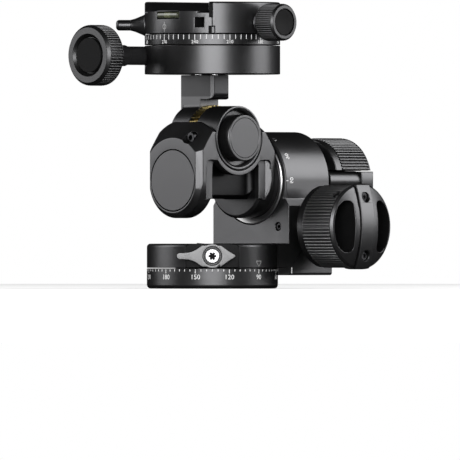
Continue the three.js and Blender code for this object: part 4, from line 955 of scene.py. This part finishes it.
def makeHousing():
    h, b = housing, boss
    up = placeAt(0, 0, head["pitchAboveRoll"])
    rear = shaped(endWall(1), cuts=[block((-30, 30), (h["rearFace"], 27), (-30, 30))])
    bossBody = rod("x", b["radius"], b["start"], h["half"], up)
    corner = math.sqrt(h["topRadius"] ** 2 - h["half"] ** 2)
    wall = h["wall"]
    shoulders = block((b["start"], h["half"]), (-wall - gap, wall + gap), (h["shoulder"], corner))
    bottom = math.sqrt(h["half"] ** 2 - (h["half"] - h["sideDepth"]) ** 2)
    # bar between the walls, with a rounded hollow beside it on each side
    reach = h["half"] - h["sideDepth"] + gap
    rise = reach - h["bar"] + h["barChamfer"] - bottom
    section = [
        (reach, rise), (h["bar"] - h["barChamfer"], -bottom), (h["barChamfer"] - h["bar"], -bottom),
        (-reach, rise), (-reach, h["shoulder"]), (reach, h["shoulder"]),
    ]
    hollows = []
    for side in (-1, 1):
        across = tuple(sorted((side * h["bar"], side * 40)))
        hollow = block(across, (-wall, wall), (-60, h["shoulder"]))
        bevel = hollow.modifiers.new("edges", "BEVEL")
        bevel.width = h["hollowRound"]
        bevel.segments = 8
        hollows.append(baked(hollow))
    bar = shaped(prism("y", section, -wall - gap, wall + gap), cuts=hollows)
    lipRadius = b["radius"] + b["groove"] + b["lip"]
    lip = shaped(
        turned("x", rounded([
            (0, b["lipBack"]), (lipRadius, b["lipBack"], 0.3), (lipRadius, h["half"], 0.3), (0, h["half"]),
        ]), up),
        keeps=[block((0, 30), (-30, 30), (-30, h["shoulder"] + gap))],
    )
    s = spindle
    hollowSpindle = turned("y", [
        (0, wall), (s["shoulder"], wall), (s["shoulder"], s["shoulderEnd"]),
        (s["wheelSeat"], s["shoulderEnd"]), (s["wheelSeat"], s["wheelEnd"]),
        (s["tip"], s["wheelEnd"]), (s["tip"], s["end"]), (0, s["end"]),
    ])
    screwPlace = placeAt(housingScrew["side"], 0, housingScrew["height"])
    recess = h["half"] - b["depth"]
    body = shaped(
        endWall(-1),
        adds=[rear, bar, bossBody, lip, shoulders, hollowSpindle],
        cuts=[
            shaped(sideRecess(1), cuts=[rod("x", lipRadius, b["lipBack"], 30, up)]),
            sideRecess(-1),
            wallCone(1, bottom),
            wallCone(-1, bottom),
            turned("x", [
                (b["radius"], h["half"] - 1), (b["radius"] + b["groove"], h["half"] - 1),
                (b["radius"] + b["groove"], 30), (b["radius"], 30),
            ], up),
            rod("y", s["bore"], -28, 60),
            rod("y", cover["radius"] + gap, -28, -h["front"] + cover["depth"] + gap),
            rod("x", b["drumRoom"], -30, b["start"], up),
            rod("x", b["axleBore"], 0, recess + gap, up),
            turned("x", [
                (0, recess), (b["recess"], recess), (b["recess"], h["half"] - b["bevel"]),
                (b["recess"] + b["bevel"], h["half"]), (b["recess"] + b["bevel"], 20), (0, 20),
            ], up),
            rod("y", housingScrew["radius"] + gap, -28, -wall - gap, screwPlace, 48),
        ],
    )
    placed(body, rollPlace)
    finishPiece(body, "housing_body", housingBlackWithPaintedShade, "roll_unit", ["roll_housing"], edge=0.25)
    face = -h["front"]
    inside = face + cover["depth"]
    disc = turned("y", rounded([
        (0, face), (cover["radius"], face, 0.3), (cover["radius"], inside), (0, inside),
    ]), rollPlace)
    finishPiece(disc, "cover_disc", blackAnodised, "roll_unit", ["front_cover"])
    s = housingScrew
    headFace = face + (s["height"] - h["frontTop"]) + s["radius"]
    place = rollPlace @ placeAt(s["side"], headFace, s["height"], -math.pi / 2)
    screw = socketScrew(s["radius"], s["length"], s["socket"], place, s["socketDepth"])
    finishPiece(screw, "housing_cap_screw", darkSteel, "roll_unit", ["housing_screw"])
    print("housing made")


# ---- pitch arm, axle cap
arm = {
    "outer": 14.5, "inner": 2, "drum": 15.1, "chamfer": 1.5, "half": 5.9, "columnInner": 5.9,
    "corner": 1.4, "overhang": 17.6, "overhangRound": 3.0, "relief": 13.9, "reliefWidth": 2.6,
    "flare": 2.0, "axleBore": 6.3,
}
armScrews = {"places": (-10.6, 0.6), "hole": 2.7, "holeBottom": 19.3, "headHole": 4.3, "headBottom": 1.6}
# painted shade: the arm's top, from 88 mm up under the clamp, is painted darker
armBlackWithPaintedShade = anodised("armBlackWithPaintedShade", *black, shade=((0, 0, 88), (40, 40, 120), 0.55))
pitchCap = {
    "radius": 10.66, "back": 14.6, "face": 21, "chamfer": 0.4,
    "line": 9.15, "lineHalf": 0.18, "lineDepth": 0.22,
}


def armScrewHoles(radius, bottom, top):
    return [rod("z", radius, bottom, top, placeAt(x, 0, 0), 32) for x in armScrews["places"]]


def armOutline(radius, half, top):
    # a round drum that flares into a straight column
    a = arm["flare"]
    reach = half + a
    height = math.sqrt((radius + a) ** 2 - reach ** 2)
    touch = math.atan2(height, reach)
    fillet = arcPoints(a, math.pi, math.pi + touch, 10, (reach, height))
    drum = arcPoints(radius, touch, -math.pi - touch, 120)
    left = [(-y, z) for y, z in reversed(fillet)]
    return [(half, top)] + fillet[:-1] + drum + left[1:] + [(-half, top)]


def makeArm():
    a = arm
    top = head["columnTop"]
    shift = a["chamfer"]
    start = -a["outer"] + shift
    web = prism("x", armOutline(a["drum"], a["half"], top), start, -a["inner"])
    outer = prism("x", armOutline(a["drum"] - shift, a["half"], top), -a["outer"], start + gap)
    edge = turned("x", [
        (0, -a["outer"]), (a["drum"] - shift, -a["outer"]), (a["drum"], start), (0, start),
    ])
    aboveAxis = block((-a["outer"], 0), (-a["outer"], a["outer"]), (0, top))
    outer = shaped(outer, keeps=[shaped(edge, adds=[aboveAxis])])
    low, high, half, corner = -a["outer"], a["columnInner"], a["half"], a["corner"]
    plan = [
        (low, -half), (high - corner, -half), (high, -half + corner),
        (high, half - corner), (high - corner, half), (low, half),
    ]
    r = a["overhangRound"]
    centre = (high - r, a["overhang"] + r)
    underside = prism("y", [
        *arcPoints(r, -math.pi / 2, 0, 10, centre), (high + overrun, centre[1]),
        (high + overrun, a["overhang"] - overrun), (centre[0], a["overhang"] - overrun),
    ], -15, 15)
    relief = shaped(
        rod("x", a["drum"] + overrun, -a["inner"] - a["reliefWidth"], 0),
        cuts=[
            rod("x", a["relief"], -8, overrun),
            block((-15, 15), (-18, 18), (-7, 18)),
        ],
    )
    body = shaped(
        web,
        adds=[outer, prism("z", plan, a["overhang"], top)],
        cuts=[
            relief, underside, rod("x", a["axleBore"], -17, 2),
            *armScrewHoles(armScrews["hole"], armScrews["holeBottom"], 32),
        ],
    )
    placed(body, pitchPlace)
    finishPiece(body, "arm_body", armBlackWithPaintedShade, "pitch_unit", ["pitch_arm"], edge=0.25)
    c = pitchCap
    cap = turned("x", rounded([
        (0, c["back"]), (c["radius"], c["back"], 0.2), (c["radius"], c["face"] - c["chamfer"], 0.4),
        (c["radius"] - c["chamfer"], c["face"], 0.3), (c["line"] + c["lineHalf"], c["face"]),
        (c["line"], c["face"] - c["lineDepth"]), (c["line"] - c["lineHalf"], c["face"]), (0, c["face"]),
    ]), pitchPlace)
    finishPiece(cap, "axle_cap", capGrey, "pitch_unit", ["pitch_cap"])
    print("arm made")


# ---- gear knobs, in a frame of their own: along +Z, back of the collar at zero, wing along X
knob = {
    "radius": 19.7, "chamfer": 1.0, "length": 22.9, "dome": 4.1, "neck": 14.5, "neckStart": -3.2,
    "collarRadius": 19.2, "collar": 3.9, "ribs": 76, "ribDepth": 0.75, "ribHalf": 0.62,
    "slotHalf": 4.85, "slotInner": 9.2, "bore": 3.3, "boreEnd": 12.3,
    "screwAngle": 41, "screwHeight": 19.2, "screwRadius": 1.9, "edge": 0.2,
}
pocket = {
    "floor": 7, "inner": 7.4, "half": 11.8, "side": 12.2, "outer": (9.3, 15.3), "radius": 17.9,
    "innerRound": 2.6, "sideRound": 3.0,
}
wing = {
    "half": 4.3, "under": 15.9, "edgeTop": 23.4, "crown": 27.5, "inset": 0.1, "endRound": 1.5,
    "edge": 0.35, "post": 4.5, "postCircle": 14, "postStart": -3.5,
    "screwCircle": 13.4, "screwRadius": 2.3, "screwDepth": 2.6, "screwHead": 1.5, "socket": 1.1,
}


def ribItem(depth, half, low, high):
    # one rounded rib of a knurl, x outward
    steps = [math.pi * i / 8 for i in range(9)]
    crest = [(depth * math.sin(a), -half * math.cos(a)) for a in steps]
    return prism("z", [(-0.3, -half), *crest, (-0.3, half)], low, high)


def pocketOutline(side):
    p = pocket
    right = rounded([
        (0, p["inner"]), (p["half"], p["inner"], p["innerRound"]),
        (p["half"], p["side"], p["sideRound"]), p["outer"],
    ], 8)[1:]
    corner = math.atan2(p["outer"][1], p["outer"][0])
    arc = arcPoints(p["radius"], corner, math.pi - corner, 20)
    left = [(-x, y) for x, y in reversed(right)]
    return [(x, side * y) for x, y in right[:-1] + arc + left[1:]]


def knobScrewHole():
    k = knob
    place = placeAt(0, 0, k["screwHeight"], math.radians(k["screwAngle"]))
    return rod("x", k["screwRadius"], k["radius"] - 3, k["radius"] + overrun, place, 40)


def knobBody():
    k, w = knob, wing
    core = k["radius"] - k["ribDepth"]
    land = k["radius"] - 0.1  # smooth band in front of the ribs
    wide = k["radius"] + overrun
    rim = k["radius"] - k["chamfer"]
    shares = [1 - (i + 1) / 16 for i in range(16)]
    dome = [(rim * s, k["length"] + k["dome"] * (1 - s * s)) for s in shares]
    top = k["length"] + k["dome"] + overrun
    shell = turned("z", rounded([
        (0, k["neckStart"]), (k["neck"], k["neckStart"]), (k["neck"], 0), (k["collarRadius"], 0, 0.5),
        (k["collarRadius"], k["collar"], 0.15), (core, k["collar"] + 0.15), (core, k["length"] - 1.6),
        (land, k["length"] - 1.5), (land, k["length"] - k["chamfer"], 0.2),
        (rim, k["length"], 0.3), *dome,
    ]))
    channel = w["half"] + gap
    slots = []
    for side in (-1, 1):
        across = tuple(sorted((side * k["slotInner"], side * wide)))
        slots.append(block(across, (-k["slotHalf"], k["slotHalf"]), (-6, top)))
    shaped(shell, cuts=[
        *slots,
        block((-wide, wide), (-channel, channel), (w["under"] - gap, top)),
        prism("z", pocketOutline(1), pocket["floor"], top),
        prism("z", pocketOutline(-1), pocket["floor"], top),
        rod("z", k["bore"], -6, k["boreEnd"], steps=40),
        knobScrewHole(),
    ])
    # the dome's facets meet at small angles and are all kept
    return softenEdges(shell, k["edge"], flatness=0.02)


def knobRibs(material):
    k = knob
    rib = ribItem(k["ribDepth"], k["ribHalf"], k["collar"] + 0.2, k["length"] - 1.55)
    skip = math.asin((k["slotHalf"] + 0.35) / k["radius"])
    core = k["radius"] - k["ribDepth"]
    ribs = repeatRound(rib, k["ribs"], core, material, first=math.pi / k["ribs"], skip=skip)
    return shaped(ribs, cuts=[knobScrewHole()])


def wingBar(half, crownRadius, screwFloor):
    w = wing
    sweep = math.asin(half / crownRadius)
    middle = (0, w["crown"] - crownRadius)
    crown = arcPoints(crownRadius, math.pi / 2 - sweep, math.pi / 2 + sweep, 40, middle)
    corner = w["endRound"]
    outline = rounded([
        (half, w["under"]), (half, w["edgeTop"], corner),
        *[p for p in crown if abs(p[0]) < half - corner - 0.1],
        (-half, w["edgeTop"], corner), (-half, w["under"]),
    ])
    bar = shaped(
        prism("y", outline, -w["half"], w["half"]),
        keeps=[rod("z", half, w["under"] - overrun, w["crown"] + overrun)],
    )
    shaped(bar, cuts=[
        rod("z", w["screwRadius"], screwFloor, 32, placeAt(side * w["screwCircle"], 0, 0), 48)
        for side in (-1, 1)
    ])
    return softenEdges(bar, w["edge"])


def wingPost(side):
    w = wing
    post = turned("z", rounded([
        (0, w["postStart"]), (w["post"], w["postStart"], 0.3),
        (w["post"], w["under"] + gap), (0, w["under"] + gap),
    ]), placeAt(side * w["postCircle"], 0, 0))
    keepSharp(post)
    return post


def makeKnob(prefix, place, knobUnit, wingUnit, ribMaterial):
    w = wing
    shell = knobBody()
    ribs = knobRibs(ribMaterial)
    finishPiece(placed(ribs, place), prefix + "_knob_ribs", ribMaterial, knobUnit)
    name = prefix + "_knob"
    finishPiece(placed(shell, place), name + "_body", knobBlack, knobUnit, [name], isShaded=True)
    half = knob["radius"] - w["inset"]
    rise = w["crown"] - w["edgeTop"]
    crownRadius = (half ** 2 + rise ** 2) / (2 * rise)
    top = w["crown"] - crownRadius + math.sqrt(crownRadius ** 2 - w["screwCircle"] ** 2)
    floor = top - w["screwDepth"]
    bar = wingBar(half, crownRadius, floor)
    whole = placed(merged(bar, wingPost(-1), wingPost(1)), place)
    name = prefix + "_wing"
    finishPiece(whole, name + "_body", knobBlack, wingUnit, [name], isShaded=True)
    inside, head = w["screwRadius"] - 0.2, floor + w["screwHead"]
    screw = shaped(
        turned("z", rounded([(0, floor + 0.05), (inside, floor + 0.05), (inside, head, 0.3), (0, head)])),
        cuts=[rod("z", w["socket"], floor + 0.7, floor + 3, steps=6)],
    )
    screws = repeatRound(screw, 2, w["screwCircle"], darkSteel, place)
    finishPiece(screws, name + "_screws", darkSteel, wingUnit)


def basisAt(x, y, z, origin):
    # a place whose own axes point along x, y and z
    turn = Matrix((x, y, z)).transposed().to_4x4()
    return Matrix.Translation(origin) @ turn


# ---- panoramic clamp, in a frame on top of the arm
clamp = {
    "radius": 31, "bottom": 0.3, "baseTop": 13.4, "foot": 0.4, "pocket": 20.5, "floor": 4.8,
    "ringBottom": 13.7, "ringTop": 18.5, "bodyBottom": 18.8, "top": 33.45, "chamfer": 1.0,
    "channelFloor": 29.1, "fixedSide": -19, "jawSide": 20.6, "lean": 3.8, "split": 21.8,
    "jawTop": 33.3, "jawHeight": 23.8, "relief": 0.8, "lipHalf": 19.5, "collar": 12, "collarBottom": 7.4,
    "ringBore": 12.6,
}
clampScale = {
    "ticks": 72, "longTicks": 12, "width": 0.3, "zeroAt": 180,
    "tickLow": 2.5, "longLow": 2.15, "tickTop": 4.55, "numbers": 1.2, "size": 2.2,
}
lock = {
    "side": -21, "height": 8.8, "radius": 13.9, "back": 49.2, "face": 59.4, "chamfer": 1.3,
    "recess": 9.8, "recessDepth": 2, "pad": 8, "padDepth": 1.2,
    "ribs": 64, "ribDepth": 0.6, "ribHalf": 0.53,
    "shaft": 4.84, "shaftEnd": 36, "thread": 4.26, "threadEnd": 12.9,
    "seat": 6, "seatEnd": 23.2, "threadHole": 4.56,
}
jaw = {
    "back": 35.3, "face": 46.7, "radius": 8.47, "ring": 7.6, "pad": 5.9, "padDepth": 1.4,
    "ribs": 50, "ribDepth": 0.48, "ribHalf": 0.39, "screwHole": 2.8, "pinHole": 2.3, "pinSide": 12,
}
plunger = {
    "azimuth": -0.75 * math.pi, "height": 22.8, "hole": 1.7, "pin": 1.4, "pinStart": 23,
    "radius": 2.45, "bossEnd": 37.5, "end": 44.1,
    # radius, and height above the clamp's round side
    "bossCurve": (
        (2.2, 0.3), (3.2, -0.15), (4.6, -0.4), (4.94, -0.2), (4.94, 0.1), (4.6, 0.6), (4.1, 1.8),
        (3.5, 3.2), (3.0, 4.5), (2.65, 5.7),
    ),
}


def makeClampBase():
    c = clamp
    lockPlace = placeAt(lock["side"], 0, lock["height"])
    body = turned("z", rounded([
        (0, c["bottom"]), (c["radius"], c["bottom"], c["foot"]), (c["radius"], c["baseTop"], 0.25),
        (c["pocket"], c["baseTop"]), (c["pocket"], c["floor"]), (0, c["floor"]),
    ]))
    shaped(body, cuts=[
        *armScrewHoles(armScrews["hole"], -2, 13),
        *armScrewHoles(armScrews["headHole"], armScrews["headBottom"], 13),
        rod("y", lock["seat"], -33, -lock["seatEnd"], lockPlace),
        rod("y", lock["threadHole"], -33, lock["threadEnd"], lockPlace),
    ])
    placed(body, clampPlace)
    finishPiece(body, "clamp_lower_body", blackAnodised, "pitch_unit", ["clamp_base"])
    ring = turned("z", rounded([
        (c["ringBore"], c["ringBottom"]), (c["radius"], c["ringBottom"], 0.2),
        (c["radius"], c["ringTop"], 0.2), (c["ringBore"], c["ringTop"]),
    ]), clampPlace)
    finishPiece(ring, "scale_ring", blackAnodised, "pitch_unit", ["clamp_scale_ring"])
    scale = degreeScale(clampScale, c["radius"], clampPlace @ placeAt(0, 0, c["ringBottom"]))
    finishPiece(scale, "clamp_scale", whiteInk, "pitch_unit")


def makeLock():
    k = lock
    place = clampPlace @ placeAt(k["side"], 0, k["height"])
    core = k["radius"] - k["ribDepth"]
    land = k["radius"] - 0.1  # smooth bands at both ends of the ribs
    floor = k["face"] - k["recessDepth"]
    ribEnd = k["face"] - k["chamfer"] - 0.25
    body = turned("y", rounded([
        (0, -k["back"]), (k["radius"] - 0.9, -k["back"]), (land, -k["back"] - 0.8),
        (land, -k["back"] - 1.1), (core, -k["back"] - 1.2),
        (core, 0.05 - ribEnd), (land, -ribEnd),
        (land, -k["face"] + k["chamfer"], 0.2), (k["radius"] - k["chamfer"], -k["face"], 0.4),
        (k["recess"], -k["face"], 0.3), (k["pad"] + gap, -floor, 0.2), (0, -floor),
    ]), place)
    rib = ribItem(k["ribDepth"], k["ribHalf"], k["back"] + 1.15, ribEnd)
    mirror = Matrix.Scale(-1, 4, (0, 1, 0))
    ribs = repeatRound(rib, k["ribs"], core, ribBlack)
    placed(ribs, place @ mirror @ axisTurn["y"])
    finishPiece(ribs, "lock_knob_ribs", ribBlack, "clamp_lock_unit")
    finishPiece(body, "lock_knob_body", lockBlack, "clamp_lock_unit", ["clamp_lock_knob"])
    under = -floor - gap
    pad = turned("y", rounded([
        (0, under), (k["pad"], under), (k["pad"], under - k["padDepth"], 0.4), (0, under - k["padDepth"]),
    ]), place)
    finishPiece(pad, "lock_pad", padBlackAndPaintedShade, "clamp_lock_unit", ["clamp_lock_pad"])
    screw = turned("y", rounded([
        (0, -k["back"] + gap), (k["shaft"], -k["back"] + gap), (k["shaft"], -k["shaftEnd"], 0.3),
        (k["thread"], -k["shaftEnd"]), (k["thread"], -k["threadEnd"], 0.3), (0, -k["threadEnd"]),
    ]), place)
    finishPiece(screw, "lock_shaft", shaftBlack, "clamp_lock_unit", ["clamp_lock_screw"])


# notches where the jaw meets the body, seen from the -45 degree side: across, heights, depth
notches = (((-1.37, 0.09), (26.3, 32.5), 1.4), ((-1.56, 1.1), (18.8, 22.0), 1.4))
notchPlace = placeAt(0, 0, 0, -math.pi / 4)
# the dark sheets on the notch floors are painted shade
notchShadeEnd = -0.2  # the floors stop short of the jaw


def splitNotches():
    edge = clamp["radius"]
    return [
        block((edge - depth, edge + overrun), across, heights, notchPlace)
        for across, heights, depth in notches
    ]


def jawHoles(screwStart, pinStart, end):
    # for the jaw's screw and its two guide pins
    sides = (jaw["pinSide"], -jaw["pinSide"])
    high = clamp["jawHeight"]
    pins = [rod("x", jaw["pinHole"], pinStart, end[1], placeAt(0, y, high), 40) for y in sides]
    return [rod("x", jaw["screwHole"], screwStart, end[0], placeAt(0, 0, high)), *pins]


def makeClampBody():
    c = clamp
    wide = c["radius"] + overrun
    body = turned("z", rounded([
        (0, c["collarBottom"]), (c["collar"], c["collarBottom"]), (c["collar"], c["bodyBottom"]),
        (c["radius"], c["bodyBottom"], 0.25), (c["radius"], c["top"], c["chamfer"]), (0, c["top"]),
    ]))
    # dovetail channel, with a groove under each leaning wall
    groove = c["channelFloor"] - c["relief"]
    fixedEnd = c["fixedSide"] + c["lean"] + gap
    jawStart = c["jawSide"] - c["lean"] - gap
    channel = prism("y", [
        (c["fixedSide"], groove), (fixedEnd, groove), (fixedEnd, c["channelFloor"]),
        (jawStart, c["channelFloor"]), (jawStart, groove), (wide, groove), (wide, c["top"] + overrun),
        (c["fixedSide"] + c["lean"], c["top"] + overrun), (c["fixedSide"] + c["lean"], c["top"]),
        (c["fixedSide"], c["channelFloor"]),
    ], -wide, wide)
    v, p = levelVial, plunger
    room = v["radius"] + gap
    window = block(
        (v["centre"] - v["half"] - gap, v["centre"] + v["half"] + gap),
        (-wide, -c["radius"] + v["depth"]), (v["height"] - room, v["height"] + room),
    )
    plungerPlace = placeAt(0, 0, p["height"], p["azimuth"])
    shaped(body, cuts=[
        channel,
        block((c["split"], wide), (-wide, wide), (c["bodyBottom"] - overrun, 60)),
        *jawHoles(5.7, 11.7, (24, 24)),
        window,
        block((15.4, 19), (-wide, -19), (21.7, 26)),  # stop hole left of the split
        rod("x", p["hole"], 22.7, wide, plungerPlace, 32),
        *splitNotches(),
    ])
    placed(body, clampPlace)
    finishPiece(body, "clamp_upper_body", blackAnodised, "clamp_unit", ["clamp_body"], edge=0.3)
    # painted shade: a near-black sheet on each notch's floor
    shadeSheets = []
    for across, heights, depth in notches:
        floor = c["radius"] - depth
        sides = (across[0], min(across[1], notchShadeEnd))
        shadeSheets.append(block((floor - 0.1, floor + 0.15), sides, heights, clampPlace @ notchPlace))
    finishPiece(merged(*shadeSheets), "notch_floors", padBlackAndPaintedShade, "clamp_unit")
    start, end = v["centre"] - v["half"], v["centre"] + v["half"]
    vial = turned("x", rounded([
        (0, start), (v["radius"], start, 0.5), (v["radius"], end, 0.5), (0, end),
    ]), clampPlace @ placeAt(0, -c["radius"] + v["depth"] / 2, v["height"]))
    finishPiece(vial, "level_tube", vialGreen, "clamp_unit", ["spirit_level"])
    spot = clampPlace @ plungerPlace
    curve = [(radius, c["radius"] + height) for radius, height in p["bossCurve"]]
    bossBody = turned("x", [
        (p["hole"], c["radius"] + gap), *curve, (2.5, p["bossEnd"]), (p["hole"], p["bossEnd"]),
    ], spot)
    finishPiece(bossBody, "plunger_boss_body", blackAnodised, "clamp_unit", ["plunger_boss"])
    shoulder = p["bossEnd"] + 0.03
    rodEnd = turned("x", rounded([
        (0, p["pinStart"]), (p["pin"], p["pinStart"]), (p["pin"], shoulder), (p["radius"], shoulder, 0.1),
        (p["radius"], p["end"], 1.5), (0, p["end"]),
    ]), spot)
    finishPiece(rodEnd, "plunger_rod", knobBlack, "plunger_unit", ["index_plunger"])


clampIndex = {"outer": 1.2, "inner": 0.88, "lineHalf": 0.16, "reach": 2.3, "height": 21.9}


def makeClampIndex():
    # a ring with a line through it
    s, thin = clampIndex, ink["proud"]
    outer, inner = (arcPoints(s[name], 0, 2 * math.pi, 28)[:-1] for name in ("outer", "inner"))
    ring = shaped(prism("z", outer, -thin, thin), cuts=[prism("z", inner, -1, 1)])
    half, reach = s["lineHalf"], s["reach"]
    line = block((-half, half), (-reach, reach), (-thin, thin))
    sign = wrapped(merged(ring, line), clamp["radius"], -math.pi / 2, s["height"])
    finishPiece(placed(sign, clampPlace), "clamp_index", faintInk, "clamp_unit")


def makeJaw():
    c = clamp
    front = c["split"] + 0.03
    wide = c["radius"] + overrun
    foot = c["channelFloor"] + gap
    section = prism("y", [
        (front, c["bodyBottom"]), (wide, c["bodyBottom"]), (wide, c["jawTop"]),
        (c["jawSide"] - c["lean"], c["jawTop"]), (c["jawSide"], foot), (front, foot),
    ], -wide, wide)
    shaped(
        section,
        keeps=[turned("z", rounded([
            (0, c["bodyBottom"]), (c["radius"], c["bodyBottom"], 0.25),
            (c["radius"], c["jawTop"], c["chamfer"]), (0, c["jawTop"]),
        ]))],
        cuts=[
            *jawHoles(19, 19, (wide, 26.8)),
            block((0, c["jawSide"]), (c["lipHalf"], wide), (c["channelFloor"], 40)),
            block((0, c["jawSide"]), (-wide, -c["lipHalf"]), (c["channelFloor"], 40)),
            *splitNotches(),
        ],
    )
    placed(section, clampPlace)
    finishPiece(section, "jaw_body", blackAnodised, "jaw_unit", ["clamp_jaw"], edge=0.3)


def makeJawKnob():
    j = jaw
    place = clampPlace @ placeAt(0, 0, clamp["jawHeight"])
    core = j["radius"] - j["ribDepth"]
    land = j["radius"] - 0.1  # smooth bands at both ends of the ribs
    floor = j["face"] - j["padDepth"]
    chamferStart = j["face"] - (j["radius"] - j["ring"])
    body = turned("x", rounded([
        (0, j["back"]), (j["radius"] - 0.7, j["back"]), (land, j["back"] + 0.6),
        (land, j["back"] + 0.9), (core, j["back"] + 1),
        (core, chamferStart - 0.3), (land, chamferStart - 0.25),
        (land, chamferStart, 0.15), (j["ring"], j["face"], 0.3),
        (j["pad"] + gap, j["face"], 0.2), (j["pad"] + gap, floor), (0, floor),
    ]), place)
    rib = ribItem(j["ribDepth"], j["ribHalf"], j["back"] + 0.95, chamferStart - 0.25)
    ribs = repeatRound(rib, j["ribs"], core, ribBlack, place, "x")
    finishPiece(ribs, "jaw_knob_ribs", ribBlack, "jaw_knob_unit")
    finishPiece(body, "jaw_knob_body", lockBlack, "jaw_knob_unit", ["jaw_knob"])
    # a pad whose face is slightly hollow
    pad = turned("x", [
        (0, floor + gap), (j["pad"], floor + gap), (j["pad"], j["face"] - 0.5),
        (j["pad"] - 0.3, j["face"] - gap), (j["pad"] * 0.6, j["face"] - 0.55),
        (j["pad"] * 0.25, j["face"] - 0.75), (0, j["face"] - 0.8),
    ], place)
    finishPiece(pad, "jaw_pad", padBlackAndPaintedShade, "jaw_knob_unit", ["jaw_knob_pad"])


makeBase()
makeBracket()
makeRollScale()
makePanIndex()
makeLever()
makeHousing()
makeArm()
rollKnobPlace = basisAt((0, 0, 1), (0, -1, 0), (1, 0, 0), (34.5, head["rollWormSetback"], wormZ))
pitchKnobPlace = basisAt((1, 0, 0), (0, 0, -1), (0, 1, 0), (0, 61.9, rollZ))
# the roll knob's ribs get the lighter copy, a painted highlight
makeKnob("roll", rollKnobPlace, "roll_knob_unit", "roll_wing_unit", ribPaintedHighlight)
makeKnob("pitch", pitchKnobPlace, "pitch_knob_unit", "pitch_wing_unit", ribBlack)
print("knobs made")
makeClampBase()
makeLock()
makeClampBody()
makeClampIndex()
makeJaw()
makeJawKnob()
print("clamp made")

# CAD nodes that stay get their own finish
finishes = {
    "black_anodised": blackAnodised,
    "grey_anodised": greyAnodised,
    "polished_steel": polishedSteel,
    "brass": cutBrass,
    "black_polymer": padBlackAndPaintedShade,
    "white_polymer": whiteWasher,
    "level_vial": vialGreen,
}
for part in frame["record"]["subparts"]:
    node = frame["nodes"][part["node"]]
    node.data.materials.clear()
    node.data.materials.append(finishes[part["material_slot"]])
print("materials set on the CAD nodes")


# ---- stage, lights and camera
studio = {
    # a far camera, because the photograph is nearly parallel
    "aim": (0.00569, 0.00569, 0.0268), "distance": 8.0, "lens": 1368,
    "floorRadius": 0.7, "floorDepth": 0.02, "floorGrey": 0.8, "glow": 0.45, "ambient": 0.08,
    "flagRadius": 1.7, "lightAim": (0, 0, 0.06),
}
softBoxes = {
    # name: azimuth from +X, height, distance, width, tall, power
    "leftBox": (-138, 0.42, 1.0, 0.73, 0.9, 6.4),
    "rightBox": (46, 0.46, 1.0, 0.73, 0.8, 10.2),
    "frontBox": (-45, 0.16, 1.15, 0.84, 0.8, 16.0),
}


def makeFloor():
    # pale, and lit a little from within where the camera or a reflection sees it
    floor = rod("z", studio["floorRadius"] / mm, -studio["floorDepth"] / mm, 0)
    floor.data.transform(Matrix.Scale(mm, 4))
    floor.name = "floor"
    g = Graph("paleFloor")
    path = g.add("ShaderNodeLightPath", {}, {}, "Is Camera Ray")
    node = path.socket.node
    seen = path + Val(g, node.outputs["Is Glossy Ray"]) + Val(g, node.outputs["Is Transmission Ray"])
    paper = g.noise(900, 2)
    grey = studio["floorGrey"]
    g.feed(
        g.shader,
        {
            "Base Color": g.tint(paper, 3 * (grey,), 3 * (grey + 0.03,)),
            "Roughness": 0.9,
            "Specular IOR Level": 0.1,
            "Emission Color": (1, 1, 1, 1),
            "Emission Strength": seen * studio["glow"],
        },
    )
    floor.data.materials.append(g.material)


def makeWorld():
    world = bpy.data.worlds.new("studio")
    bpy.context.scene.world = world
    world.use_nodes = True
    tree = world.node_tree
    path = tree.nodes.new("ShaderNodeLightPath")
    mix = tree.nodes.new("ShaderNodeMix")
    mix.inputs["A"].default_value = studio["ambient"]
    mix.inputs["B"].default_value = 1.0
    seen = path.outputs["Is Camera Ray"]
    for name in ("Is Glossy Ray", "Is Transmission Ray"):
        both = tree.nodes.new("ShaderNodeMath")
        tree.links.new(seen, both.inputs[0])
        tree.links.new(path.outputs[name], both.inputs[1])
        seen = both.outputs[0]
    tree.links.new(seen, mix.inputs["Factor"])
    tree.links.new(mix.outputs["Result"], tree.nodes["Background"].inputs["Strength"])
    tree.nodes["Background"].inputs["Color"].default_value = (1, 1, 1, 1)


def makeFlags():
    # black cloth round the set, which only gloss meets, so that dark metal keeps dark edges
    r = studio["flagRadius"] / mm
    flags = turned("z", [(0, 0.2), (r, 0.2), (r, 2 * r), (0, 2 * r)], steps=64)
    flags.data.transform(Matrix.Scale(mm, 4))
    flags.data.flip_normals()
    flags.name = "flags"
    cloth = moulded("blackCloth", (0.01, 0.01, 0.01), (0.014, 0.014, 0.014), 0.9, 400.0)
    flags.data.materials.append(cloth)
    for ray in ("camera", "diffuse", "transmission", "shadow", "volume_scatter"):
        setattr(flags, "visible_" + ray, False)


def makeLights():
    for name, (azimuth, height, distance, width, tall, power) in softBoxes.items():
        lamp = bpy.data.lights.new(name, "AREA")
        lamp.shape = "RECTANGLE"
        lamp.size = width
        lamp.size_y = tall
        lamp.energy = power
        obj = bpy.data.objects.new(name, lamp)
        bpy.context.scene.collection.objects.link(obj)
        turn = math.radians(azimuth)
        spot = Vector((distance * math.cos(turn), distance * math.sin(turn), height))
        obj.location = spot
        aim = Vector(studio["lightAim"])
        obj.rotation_euler = (aim - spot).to_track_quat("-Z", "Y").to_euler()
        obj.visible_camera = False


def makeCamera():
    camera = bpy.data.cameras.new("camera")
    camera.lens = studio["lens"]
    camera.sensor_width = 36
    camera.clip_start = 0.1
    camera.clip_end = 50
    obj = bpy.data.objects.new("camera", camera)
    bpy.context.scene.collection.objects.link(obj)
    aim = Vector(studio["aim"])
    back = Vector((1, -1, 0)).normalized()
    obj.location = aim + back * studio["distance"]
    obj.rotation_euler = (-back).to_track_quat("-Z", "Y").to_euler()
    bpy.context.scene.camera = obj


makeFloor()
makeWorld()
makeFlags()
makeLights()
makeCamera()
bpy.context.scene.view_settings.view_transform = "Standard"
print("stage set")
